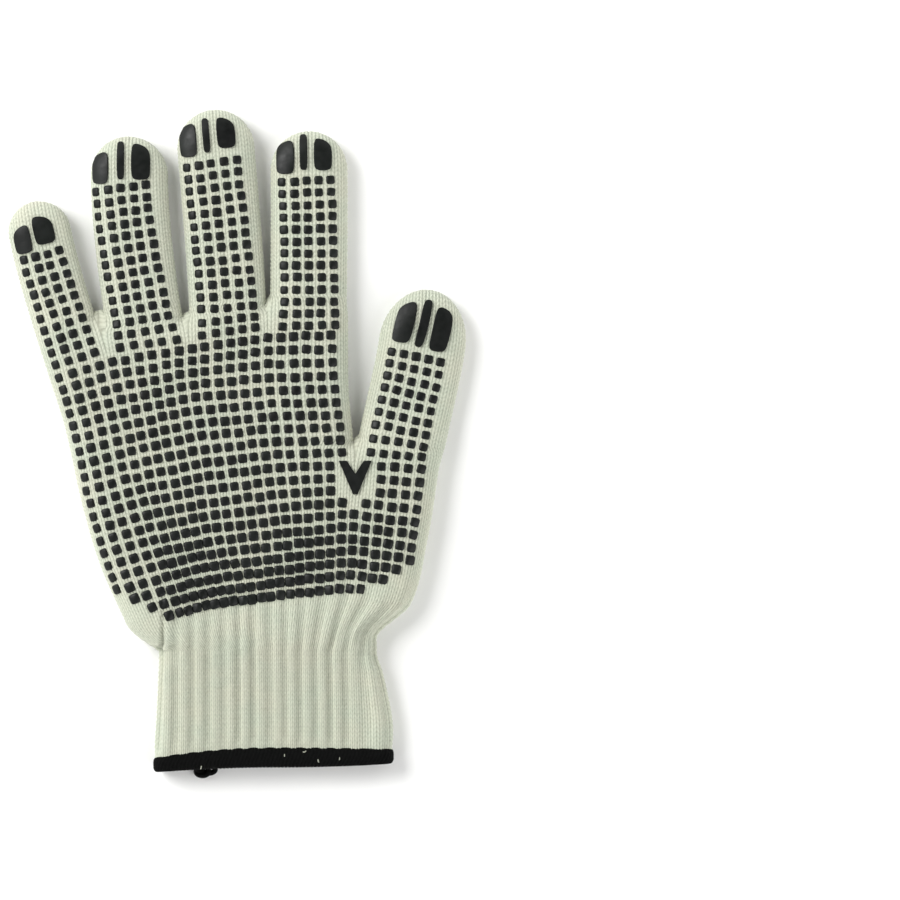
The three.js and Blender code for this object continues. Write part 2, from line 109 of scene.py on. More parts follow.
def mix(a: Floats, b: Floats, t: Floats) -> Floats:
    """The value a share of the way from a to b."""
    return a + (b - a) * t


def round_off(distance: Floats, reach: Floats) -> Floats:
    """Quarter-round profile: 0 at an edge, 1 from the distance reach inward."""
    return np.sqrt(1 - (1 - clamp(distance / reach)) ** 2)


def curve(stations: Sequence[float], values: Sequence[float], at: Floats) -> Floats:
    """Reads a smooth cubic through values at their stations.

    Args:
        stations: Where the values stand, rising.
        values: One value for each station.
        at: Where to read the curve.

    Returns:
        The curve's value at each place asked for.
    """
    x, y, at = np.asarray(stations, float), np.asarray(values, float), np.asarray(at, float)
    last = len(x) - 1
    before = np.maximum(np.arange(last + 1) - 1, 0)
    after = np.minimum(np.arange(last + 1) + 1, last)
    slope = (y[after] - y[before]) / (x[after] - x[before])
    i = np.searchsorted(x[1:-1], at, side="left")
    h = x[i + 1] - x[i]
    t = (at - x[i]) / h
    rise = y[i] * (2 * t**3 - 3 * t**2 + 1) + y[i + 1] * (3 * t**2 - 2 * t**3)
    return rise + h * (slope[i] * (t**3 - 2 * t**2 + t) + slope[i + 1] * (t**3 - t**2))


@dataclass(frozen=True)
class Gauge:
    """Size of the knit and how far its stitches stand up, in millimetres, how far their legs climb, in
    courses, and the share of their height that dips between loops. The course is a little longer than a real
    one, so that the stitches show."""

    course: float = 1.62
    samples_per_course: int = 4
    relief: float = 0.42
    leg_climb: float = 0.72
    dip: float = 0.6

    def stitch(self, wale: Floats, course: Floats) -> Floats:
        """Height of plain knit from 0 to 1: each wale is a chain of V shapes with two slanting legs.

        Args:
            wale: Place across the knit, counted in wales.
            course: Place along the knit, counted in courses.

        Returns:
            The height of the yarn's face.
        """
        side = np.abs(wale - np.floor(wale) - 0.5) * 2
        leg = np.sqrt(clamp(1 - (2 * side - 1) ** 2))
        chain = 0.5 + 0.5 * np.cos(2 * np.pi * (course - self.leg_climb * side))
        return leg * (1 - self.dip + self.dip * np.sqrt(chain))


@dataclass(frozen=True)
class HandRow:
    """A row across the hand: its depth as a share of the palm's, and its points on the lines as shares of
    the palm's width and length."""

    name: str
    depth: float
    points: dict[Line, tuple[float, float]]


@dataclass(frozen=True)
class Fold:
    """A fold of the hand cloth near the wrist: its column, its run across and up as shares, its half width
    in columns and its relief in millimetres."""

    column: float
    across: float
    up: float
    spread: float
    relief: float


def hand_row(name: str, depth: float, *points: tuple[float, float]) -> HandRow:
    """A row of the hand with its points in the order of the lines."""
    return HandRow(name, depth, dict(zip(Line, points)))


@dataclass(frozen=True)
class Points:
    """Places on both faces of the flat cloth, in millimetres."""

    x: Floats
    y: Floats
    top: Floats
    under: Floats

    def on(self, face: Face) -> Floats:
        """The points of one face, as an array with x, y and z last."""
        return np.stack([self.x, self.y, self.top if face is Face.PALM_SIDE else self.under], -1)


@dataclass(frozen=True)
class HandPattern:
    """The flat outline and depth of the hand, as rows and lines."""

    width: float = 105.5
    length: float = 115.4
    thickness: float = 13.0
    wall: float = 1.8
    edge_round: float = 9.0
    under_round: float = 5.0
    mid_share: float = 0.42
    fold_start: float = 1 / 6
    centre: tuple[float, float] = (-12.073, 74.17)
    webs: tuple[tuple[Line, float], ...] = (
        (Line.LITTLE, 15.5),
        (Line.RING, 9.7),
        (Line.MIDDLE, 12.0),
        (Line.INDEX, 9.6),
    )
    rows: tuple[HandRow, ...] = (
        hand_row("wrist", 0.91, (-0.374, 0), (-0.266, 0), (-0.109, 0), (0.048, 0), (0.203, 0), (0.355, 0)),
        hand_row("fold", 0.96, (-0.461, 0.055), (-0.3, 0.048), (-0.13, 0.051), (0.051, 0.061),
                 (0.223, 0.068), (0.364, 0.056)),
        hand_row("heel", 1, (-0.498, 0.101), (-0.328, 0.12), (-0.143, 0.145), (0.055, 0.167),
                 (0.259, 0.178), (0.474, 0.145)),
        hand_row("ball", 1, (-0.578, 0.26), (-0.403, 0.301), (-0.196, 0.338), (0.044, 0.363),
                 (0.271, 0.382), (0.536, 0.348)),
        hand_row("fork", 0.97, (-0.64, 0.448), (-0.466, 0.494), (-0.23, 0.538), (0.015, 0.566),
                 (0.287, 0.576), (0.573, 0.56)),
        hand_row("knuckle", 0.92, (-0.7, 0.691), (-0.52, 0.735), (-0.275, 0.785), (-0.014, 0.806),
                 (0.266, 0.813)),
        hand_row("root", 0.84, (-0.761, 0.869), (-0.558, 0.928), (-0.276, 0.962), (-0.009, 1),
                 (0.264, 1.009)),
    )
    folds: tuple[Fold, ...] = (
        Fold(3.2, -0.03, 0.16, 0.75, 0.7),
        Fold(6.6, -0.03, 0.13, 0.7, 0.5),
        Fold(10.2, -0.02, 0.15, 0.75, 0.7),
        Fold(13.6, -0.01, 0.12, 0.7, 0.5),
        Fold(17.2, 0, 0.14, 0.75, 0.7),
        Fold(20.8, 0.03, 0.17, 0.8, 0.8),
        Fold(23.6, 0.12, 0.16, 0.8, 0.9),
    )

    def row_height(self, name: str) -> float:
        """Height of a named row on the hand, measured on the line beside the little finger."""
        return next(row.points[Line.LITTLE][1] * self.length for row in self.rows if row.name == name)

    @property
    def fork(self) -> float:
        """Height of the row where the thumb leaves the hand."""
        return self.row_height("fork")

    @property
    def roots(self) -> float:
        """Height of the row where the fingers leave the hand."""
        return self.row_height("root")

    def line(self, name: Line, v: Floats, inset: float = 0.0) -> tuple[Floats, Floats]:
        """A line between digits at a height of the hand.

        Args:
            name: Which line.
            v: Height on the hand in millimetres.
            inset: 0 for the outer face, the wall for the lining.

        Returns:
            The x and y of the line there.
        """
        rows = [row for row in self.rows if name in row.points]
        at = [self.row_height(row.name) for row in rows]
        x = curve(at, [row.points[name][0] * self.width for row in rows], v)
        y = curve(at, [row.points[name][1] * self.length for row in rows], v)
        inward = {Line.EDGE: 1.0, Line.THUMB: -1.0, Line.INDEX: -smooth((v - self.fork) / (2 * self.wall))}
        return x + inward.get(name, 0.0) * inset, y - inset * smooth(2 * v / self.fork - 1)

    def plan(self, column: Floats, v: Floats, inset: float = 0.0) -> tuple[Floats, Floats]:
        """The flat place of a column at a height, straight between neighbouring lines.

        Args:
            column: Column across the hand.
            v: Height above the wrist.
            inset: 0 for the outer face, the wall for the lining.

        Returns:
            The x and y there.
        """
        column, v = np.broadcast_arrays(np.asarray(column, float), np.asarray(v, float))
        lines = list(Line)
        x, y = np.zeros(column.shape), np.zeros(column.shape)
        for a, b in zip(lines, lines[1:]):
            here = (column >= a.value) & (column <= b.value)
            t = (column - a.value) / (b.value - a.value)
            (xa, ya), (xb, yb) = self.line(a, v, inset), self.line(b, v, inset)
            x, y = np.where(here, mix(xa, xb, t), x), np.where(here, mix(ya, yb, t), y)
        return x, y

    def depth(self, v: Floats) -> Floats:
        """Thickness of the hand at a height."""
        heights = [self.row_height(row.name) for row in self.rows]
        return self.thickness * curve(heights, [row.depth for row in self.rows], v)

    def faces(self, depth: Floats, distances: Iterable[Floats], inset: float) -> tuple[Floats, Floats]:
        """Heights of the palm side and the back over the plan.

        Args:
            depth: Thickness of the glove there.
            distances: Distances to the edges, each of which rounds the cloth off.
            inset: 0 for the outer face, the wall for the lining.

        Returns:
            The height of the palm side and of the back.
        """
        middle = self.mid_share * depth
        up, down = 1.0, 1.0
        for distance in distances:
            up = up * round_off(distance, self.edge_round - inset)
            down = down * round_off(distance, self.under_round - inset / 2)
        return middle + (depth - inset - middle) * up, middle - (middle - inset) * down

    @staticmethod
    def fork_row(name: Line) -> str:
        """Row where the two digits beside a line part."""
        return "fork" if name is Line.INDEX else "root"

    def web(self, name: Line, above: Floats) -> Floats:
        """Distance that keeps the cloth from rounding off where two digits part.

        Args:
            name: The line between the two digits.
            above: Height above their fork.

        Returns:
            The distance that is added to the one from the edge.
        """
        reach = dict(self.webs).get(name, 0.0)
        return self.edge_round * (1 - smooth(above / reach)) if reach else np.zeros_like(above)

    def fold_relief(self, column: Floats, v: Floats) -> Floats:
        """How far the folds near the wrist lift the cloth.

        Args:
            column: Column across the hand.
            v: Height above the wrist.

        Returns:
            The lift in millimetres.
        """
        relief = 0.0
        for fold in self.folds:
            along = v / self.length / fold.up
            off = (column - fold.column - fold.across * Line.INDEX.value * along) / fold.spread
            lift = fold.relief * clamp(1 - along) * clamp(along / self.fold_start)
            relief = relief + lift * np.exp(-(off**2))
        return relief

    def cloth(self, column: Floats, v: Floats, inset: float = 0.0) -> Points:
        """Both faces of the hand at a column and height.

        Args:
            column: Column across the hand.
            v: Height above the wrist.
            inset: 0 for the outer face, the wall for the lining.

        Returns:
            The points there.
        """
        column, v = np.broadcast_arrays(np.asarray(column, float), np.asarray(v, float))
        x, y = self.plan(column, v, inset)
        above = v > self.fork
        edge, index = self.line(Line.EDGE, v, inset), self.line(Line.INDEX, np.maximum(v, self.fork), inset)
        thumb = self.line(Line.THUMB, v, inset)
        joined = self.web(Line.INDEX, v - self.fork)
        distances = [
            np.hypot(x - edge[0], y - edge[1]),
            np.where(above, FAR, np.hypot(x - thumb[0], y - thumb[1])),
            np.hypot(np.hypot(x - index[0], y - index[1]), joined),
        ]
        top, under = self.faces(self.depth(v), distances, inset)
        edge = np.prod([round_off(d, self.edge_round) for d in distances], axis=0)
        return Points(x, y, top + self.fold_relief(column, v) * edge, under)


@dataclass(frozen=True)
class DigitPattern:
    """The middle line and outline of one digit. From the hand's section it settles to its own over some
    shares of its half width, and its lining over a share of the wall."""

    name: str
    start: Line
    end: Line
    row: str
    width: float
    length: float
    tip: float
    lean: tuple[float, float, float]
    wales: int
    depth: float = 10.4
    root_settle: float = 0.9
    depth_settle: float = 1.6
    lining_settle: float = 1.2
    steps: int = 24

    def half(self, hand: HandPattern) -> float:
        """Half the digit's width."""
        return self.width * hand.width / 2

    def reach(self, hand: HandPattern) -> float:
        """Length of the digit from its root row."""
        return self.length * hand.length

    def tip_share(self, hand: HandPattern, along: Floats, inset: float = 0.0) -> Floats:
        """Place in the round tip at a distance from the root: 0 where it starts, 1 at its very end."""
        tip = self.half(hand) * self.tip
        return clamp((along - (self.reach(hand) - tip)) / (tip - inset))

    def half_at(self, hand: HandPattern, along: Floats) -> Floats:
        """Half the width at a distance from the root, in the round tip too."""
        return self.half(hand) * np.sqrt(1 - self.tip_share(hand, along) ** 2)

    def axis(self, hand: HandPattern, along: Floats) -> tuple[Floats, Floats, Floats]:
        """The middle line at a distance from the root.

        Args:
            hand: The hand that the digit grows from.
            along: Distance from the root row in millimetres.

        Returns:
            The x, the y and the lean in radians.
        """
        v = hand.row_height(self.row)
        a, b = hand.line(self.start, v), hand.line(self.end, v)
        along = np.asarray(along, float)

        def lean(s: Floats) -> Floats:
            """The lean at a distance from the root."""
            return np.radians(curve([0, 0.5, 1], self.lean, clamp(s / self.reach(hand))))

        x, y = (a[0] + b[0]) / 2, (a[1] + b[1]) / 2
        for i in range(self.steps):
            angle = lean((i + 0.5) / self.steps * along)
            x = x + np.sin(angle) * along / self.steps
            y = y + np.cos(angle) * along / self.steps
        return x, y, lean(along)

    def cloth(self, hand: HandPattern, across: Floats, along: Floats, inset: float = 0.0) -> Points:
        """Both faces of the digit.

        Args:
            hand: The hand that the digit grows from.
            across: Share of the half width, from -1 to 1.
            along: Distance from the root row in millimetres.
            inset: 0 for the outer face, the wall for the lining.

        Returns:
            The points there.
        """
        across, along = np.broadcast_arrays(np.asarray(across, float), np.asarray(along, float))
        v = hand.row_height(self.row)
        a, b = hand.line(self.start, v, inset), hand.line(self.end, v, inset)
        half = self.half(hand)
        settle = 1 - smooth((along + inset) / (self.root_settle * half))
        chord = math.hypot(b[0] - a[0], b[1] - a[1])
        inward = inset * smooth((along + inset) / (self.lining_settle * hand.wall))
        body = mix(half, chord / 2, settle) - inward
        tip = self.tip_share(hand, along, inset)
        wide = body * np.sqrt(1 - tip**2)
        x, y, lean = self.axis(hand, along)
        root = self.axis(hand, -inset)
        angle = mix(lean, math.atan2(a[1] - b[1], b[0] - a[0]), settle)
        distance = body - np.hypot(across * wide, tip * body)
        left, right = (hand.web(line, along) if self.row == hand.fork_row(line) else 0.0
                       for line in (self.start, self.end))
        distance = np.hypot(distance, np.where(across < 0, left, right))
        depth = mix(hand.depth(v), self.depth, smooth(along / (self.depth_settle * half)))
        top, under = hand.faces(depth, [distance], inset)
        x = x + ((a[0] + b[0]) / 2 - root[0]) * settle + np.cos(angle) * across * wide
        y = y + ((a[1] + b[1]) / 2 - root[1]) * settle - np.sin(angle) * across * wide
        return Points(x, y, top, under)


HAND = HandPattern()
GAUGE = Gauge()
LITTLE = DigitPattern("little_finger", Line.EDGE, Line.LITTLE, "root", 0.212, 0.518, 1, (-18.5, -16, -9.5),
                      10)
RING = DigitPattern("ring_finger", Line.LITTLE, Line.RING, "root", 0.261, 0.66, 1, (-9.8, -6, 2.5), 12)
MIDDLE = DigitPattern("middle_finger", Line.RING, Line.MIDDLE, "root", 0.262, 0.705, 1, (-2, -4.6, -4.5), 12)
INDEX = DigitPattern("index_finger", Line.MIDDLE, Line.INDEX, "root", 0.26, 0.613, 1, (1, 0.3, -1), 12)
THUMB = DigitPattern("thumb", Line.INDEX, Line.THUMB, "fork", 0.295, 0.564, 1.25, (11, 12.2, 0.5), 14)
DIGITS = (LITTLE, RING, MIDDLE, INDEX, THUMB)


def wale_of(line: Line) -> int:
    """Number of the wale that runs up a line of the hand, counted from the little-finger edge."""
    return sum(digit.wales for digit in DIGITS if digit.start.value < line.value)


Surface = Callable[[Floats, Floats], Floats]


def even_steps(surface: Surface, start: float, end: float, rows: Floats, count: int) -> Floats:
    """Steps across a surface that are equally long on the cloth in every row.

    Args:
        surface: Gives the points for places across and rows.
        start: Where the run across starts.
        end: Where it ends.
        rows: The rows, as the surface takes them.
        count: Number of steps.

    Returns:
        The places across, one line for each row.
    """
    fine = start + (end - start) * (1 - np.cos(np.linspace(0, np.pi, EVEN_SAMPLES))) / 2
    points = surface(fine[None, :], rows[:, None])
    run = np.cumsum(np.linalg.norm(np.diff(points, axis=1), axis=2), axis=1)
    run = np.concatenate([np.zeros((len(rows), 1)), run], axis=1)
    run = run / np.maximum(run[:, -1:], TINY)
    wanted = np.linspace(0, 1, count + 1)
    return np.stack([np.interp(wanted, line, fine) for line in run])


def hand_columns(v: Floats, digits: Sequence[DigitPattern], face: Face) -> tuple[Floats, Floats]:
    """Columns and wales of the samples of rows of the hand, evenly stepped within each digit.

    Args:
        v: Heights of the rows.
        digits: The digits whose columns are sampled.
        face: The face of the cloth.

    Returns:
        The columns, one line for each row, and the wales.
    """
    columns, wales = [], []
    for digit in digits:
        count = digit.wales * face.value
        steps = even_steps(lambda c, h: HAND.cloth(c, h).on(face), digit.start.value, digit.end.value, v,
                           count)
        own = wale_of(digit.start) + np.arange(count + 1) / face.value
        first = 1 if columns else 0
        columns.append(steps[:, first:])
        wales.append(own[first:])
    return np.concatenate(columns, axis=1), np.concatenate(wales)


def with_stitches(points: Floats, wale: Floats, course: Floats) -> Floats:
    """Cloth from its points: x, y and z with the wale and the course of each."""
    return np.concatenate([points, np.stack(np.broadcast_arrays(wale, course), -1)], -1)


def closed_rows(top: Floats, back: Floats) -> Floats:
    """Rows of the palm side and of the back as closed rows. The back runs home without its two corners."""
    return np.concatenate([top, back[:, -2:0:-1]], axis=1)


@dataclass
class Patch:
    """A grid of cloth. A closed patch joins its last column to its first. Each cut opens it beside a column,
    over its first rows."""

    cloth: Floats
    closed: bool = False
    inward: bool = False
    relief: Floats | None = None
    cuts: list[tuple[int, int]] = field(default_factory=list)

    @property
    def points(self) -> Floats:
        """The place of each vertex."""
        return self.cloth[..., :3]

    @property
    def stitches(self) -> Floats:
        """The wale and course of each vertex."""
        return self.cloth[..., 3:]

    def faces(self) -> Floats:
        """The corners of each face as places in the flattened grid, four to a face.

        Returns:
            One line for each face.
        """
        rows, columns = self.points.shape[:2]
        i = np.arange(rows - 1)[:, None]
        j = np.arange(columns if self.closed else columns - 1)[None, :]
        k = (j + 1) % columns
        corners = [i * columns + j, i * columns + k, (i + 1) * columns + k, (i + 1) * columns + j]
        quads = np.stack(np.broadcast_arrays(*corners), -1)
        kept = np.ones(quads.shape[:2], bool)
        for column, count in self.cuts:
            kept[:count, column] = False
        return quads[kept][:, ::-1] if self.inward else quads[kept]


@dataclass
class ClothPiece:
    """One named piece of cloth made of patches."""

    name: str
    patches: list[Patch]

    def __post_init__(self) -> None:
        """Lays the patches' vertices one after another."""
        self.points = np.concatenate([p.points.reshape(-1, 3) for p in self.patches])
        self.stitches = np.concatenate([p.stitches.reshape(-1, 2) for p in self.patches])
        self.relief = np.concatenate([
            np.zeros(p.cloth[..., 0].size) if p.relief is None else p.relief.reshape(-1) for p in self.patches
        ])
        starts = np.cumsum([0] + [p.cloth[..., 0].size for p in self.patches])
        self.quads = np.concatenate([p.faces() + s for p, s in zip(self.patches, starts)])


def shared_normals(pieces: Sequence[ClothPiece]) -> list[Floats]:
    """Vertex normals over all pieces at once, so that a join between two pieces shades as one cloth.

    Args:
        pieces: The pieces that meet.

    Returns:
        One array of unit normals for each piece.
    """
    points = np.concatenate([piece.points for piece in pieces])
    starts = np.cumsum([0] + [len(piece.points) for piece in pieces])
    quads = np.concatenate([piece.quads + s for piece, s in zip(pieces, starts)])
    _, place = np.unique(np.round(points, SEAM_DECIMALS), axis=0, return_inverse=True)
    place = place.reshape(-1)
    a, b, c, d = (points[quads[:, k]] for k in range(4))
    flat = np.cross(c - a, d - b)
    total = np.zeros((place.max() + 1, 3))
    for k in range(4):
        np.add.at(total, place[quads[:, k]], flat)
    total /= np.maximum(np.linalg.norm(total, axis=1, keepdims=True), TINY)
    normals = total[place]
    return [normals[a:b] for a, b in zip(starts, starts[1:])]


def part_frame(points: Floats) -> Floats:
    """Points of the pattern moved to the part's own origin, in metres."""
    return (points - np.array([HAND.centre[0], HAND.centre[1], 0.0])) * MM


def make_mesh(name: str, points: Floats, faces: Floats, stitches: Floats | None = None,
              normals: Floats | None = None) -> bpy.types.Object:
    """Makes a smooth mesh object.

    Args:
        name: The object's name.
        points: Vertices in millimetres, in the pattern's frame.
        faces: Corners of each face; a repeated corner is dropped.
        stitches: A wale and a course for each vertex, kept as the UV map.
        normals: A unit normal for each vertex.

    Returns:
        The object, linked to the scene.
    """
    rounded = np.round(points, MESH_DECIMALS)
    _, first, place = np.unique(rounded, axis=0, return_index=True, return_inverse=True)
    place = place.reshape(-1)
    merged = place[faces]
    clean, corners = [], []
    for face, source in zip(merged.tolist(), faces.tolist()):
        kept = [k for k in range(len(face)) if face[k] != face[k - 1]]
        if len(kept) > 2:
            clean.append([face[k] for k in kept])
            corners.extend(source[k] for k in kept)
    mesh = bpy.data.meshes.new(name)
    mesh.from_pydata(part_frame(points[first]).tolist(), [], clean)
    mesh.shade_smooth()
    if stitches is not None:
        layer = mesh.uv_layers.new(name="stitches")
        layer.data.foreach_set("uv", stitches[corners].astype(np.float32).ravel())
    if normals is not None:
        mesh.normals_split_custom_set_from_vertices(normals[first].tolist())
    mesh.validate()
    made = bpy.data.objects.new(name, mesh)
    bpy.context.scene.collection.objects.link(made)
    return made


def put_on(piece: bpy.types.Object, slot: Slot, material: bpy.types.Material, *nodes: str) -> None:
    """Dresses a piece, hangs it under the root body and hides the parts of the nodes that it stands for.

    Args:
        piece: The finished object.
        slot: The record's slot for the piece; not used.
        material: Its material.
        nodes: The nodes that it replaces, if any.
    """
    piece.data.materials.append(material)
    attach(piece, "root")
    if nodes:
        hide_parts(*nodes)
    log.info("%s: %d faces", piece.name, len(piece.data.polygons))


@dataclass(frozen=True)
class CuffRow:
    """A row down the cuff: its place, width, middle and depth as shares of the cuff's own sizes."""

    at: float
    width: float
    centre: float
    depth: float


@dataclass(frozen=True)
class CuffPattern:
    """The ribbed cuff below the wrist."""

    width: float = 77.0
    length: float = 35.3
    thickness: float = 11.0
    drop_little: float = 3.6
    drop_thumb: float = 0.5
    settle: float = 0.22
    depth_settle: float = 0.5
    rows: tuple[CuffRow, ...] = (
        CuffRow(0, 1, -0.005, 1),
        CuffRow(0.16, 1.02, -0.002, 0.97),
        CuffRow(0.4, 1.052, 0.008, 0.96),
        CuffRow(0.7, 1.086, 0.017, 0.95),
        CuffRow(1, 1.1, 0.014, 0.96),
    )

    def read(self, name: str, t: Floats) -> Floats:
        """A value of the rows at a place down the cuff."""
        return curve([row.at for row in self.rows], [getattr(row, name) for row in self.rows], t)

    def half(self, t: Floats) -> Floats:
        """Half the width at a place down the cuff."""
        return self.width * self.read("width", t) / 2

    def across(self, x: Floats) -> Floats:
        """Share of the half width at an x across the lower edge."""
        return (x - self.width * self.read("centre", 1.0)) / self.half(1.0)

    def end(self, x: Floats) -> Floats:
        """Length of the cuff below the wrist at an x across it."""
        drop = np.where(self.across(x) < 0, self.drop_little, self.drop_thumb)
        return self.length + drop * self.across(x) ** 2

    def span(self, t: Floats) -> tuple[Floats, Floats]:
        """Middle and half width of the cuff at a place down it.

        Args:
            t: Place from the wrist, 0, to the lower edge, 1.

        Returns:
            The middle and the half width.
        """
        left, right = HAND.line(Line.EDGE, 0.0)[0], HAND.line(Line.THUMB, 0.0)[0]
        settled = smooth(t / self.settle)
        return (mix((right + left) / 2, self.width * self.read("centre", t), settled),
                mix((right - left) / 2, self.half(t), settled))

    def cloth(self, across: Floats, t: Floats, out: float = 0.0) -> Points:
        """Both faces of the cuff. It leaves the wrist with the hand's own section and settles to a flat
        tube with round sides.

        Args:
            across: Share of the half width, from -1 to 1.
            t: Place from the wrist, 0, to the lower edge, 1.
            out: How far the face stands off the cuff's outer face.

        Returns:
            The points there.
        """
        across, t = np.broadcast_arrays(np.asarray(across, float), np.asarray(t, float))
        settled = smooth(t / self.settle)
        centre, half = self.span(t)
        half = half + out
        flat = 1 - (1 - clamp(t / self.depth_settle)) ** 2
        depth = mix(HAND.depth(0.0), self.thickness * self.read("depth", t), flat)
        middle = depth * mix(HAND.mid_share, 0.5, settled)
        distance = half * (1 - np.abs(across))
        up = round_off(distance, mix(HAND.edge_round, depth / 2, settled) + out)
        down = round_off(distance, mix(HAND.under_round, depth / 2, settled) + out)
        x = centre + across * half
        column = Line.THUMB.value * (across + 1) / 2
        folds = HAND.fold_relief(column, 0.0) * (1 - smooth(t / self.settle)) * up
        top = middle + (depth - middle + out) * up + folds
        return Points(x, -t * self.end(x), top, np.maximum(middle - (middle + out) * down, min(0.0, out)))


CUFF = CuffPattern()


@dataclass(frozen=True)
class RibKnit:
    """Ribs of the cuff, two wales up and two down: their relief in millimetres, how square they are, how much
    the hem's seam presses them and from where, how uneven they are in waves round the cuff, each with its
    count and phase, and how far they run up into the hand."""

    wales: int = 4
    relief: float = 0.64
    square: float = 1.9
    at_hem: float = 0.35
    hem_from: float = 0.86
    waves: tuple[tuple[int, float], ...] = ((3, 0.0), (5, 1.1))
    sway: float = 0.14
    uneven: float = 0.14
    reach_little: float = 24.0
    reach_thumb: float = 32.0
    turn: float = 2.0
    fan_from: float = 26.0
    fan_over: float = 22.0

    def lift(self, wale: Floats) -> Floats:
        """How far the ribs lift the cloth, a little uneven from rib to rib.

        Args:
            wale: Number of the wale.

        Returns:
            The lift in millimetres.
        """
        total = wale_of(Line.THUMB)
        uneven = sum(np.sin(2 * np.pi * count * wale / total + phase) for count, phase in self.waves)
        turn = 2 * np.pi * (wale + self.sway * uneven) / self.wales
        return self.relief * (1 + self.uneven * uneven) * np.tanh(self.square * np.cos(turn))

    def on_cuff(self, wale: Floats, t: Floats) -> Floats:
        """How far the ribs lift the cuff's cloth at a place down it."""
        return self.lift(wale) * mix(1.0, self.at_hem, smooth((t - self.hem_from) / (1 - self.hem_from)))

    def fade(self, wale: Floats, v: Floats) -> Floats:
        """Share of the ribs left at a height above the wrist."""
        reach = mix(self.reach_little, self.reach_thumb, smooth(wale / wale_of(Line.THUMB)))
        return 1 - smooth(v / reach)

    def on_hand(self, x: Floats, wale: Floats, v: Floats) -> Floats:
        """How far the ribs lift the hand's cloth. Above the wrist they stand straight, and by the thumb they
        fan out with the knit.

        Args:
            x: Place across the hand in millimetres.
            wale: Number of the wale there.
            v: Height above the wrist.

        Returns:
            The lift in millimetres.
        """
        straight = np.interp(x, *WRIST)
        share = smooth(v / self.turn) * (1 - smooth((wale - self.fan_from) / self.fan_over))
        return self.lift(mix(wale, straight, share)) * self.fade(wale, v)


def wrist_places() -> tuple[Floats, Floats]:
    """Places across the wrist on the palm side, and their wales."""
    columns, wales = hand_columns(np.zeros(1), DIGITS, Face.PALM_SIDE)
    return HAND.plan(columns[0], 0.0)[0], wales


RIBS = RibKnit()
WRIST = wrist_places()


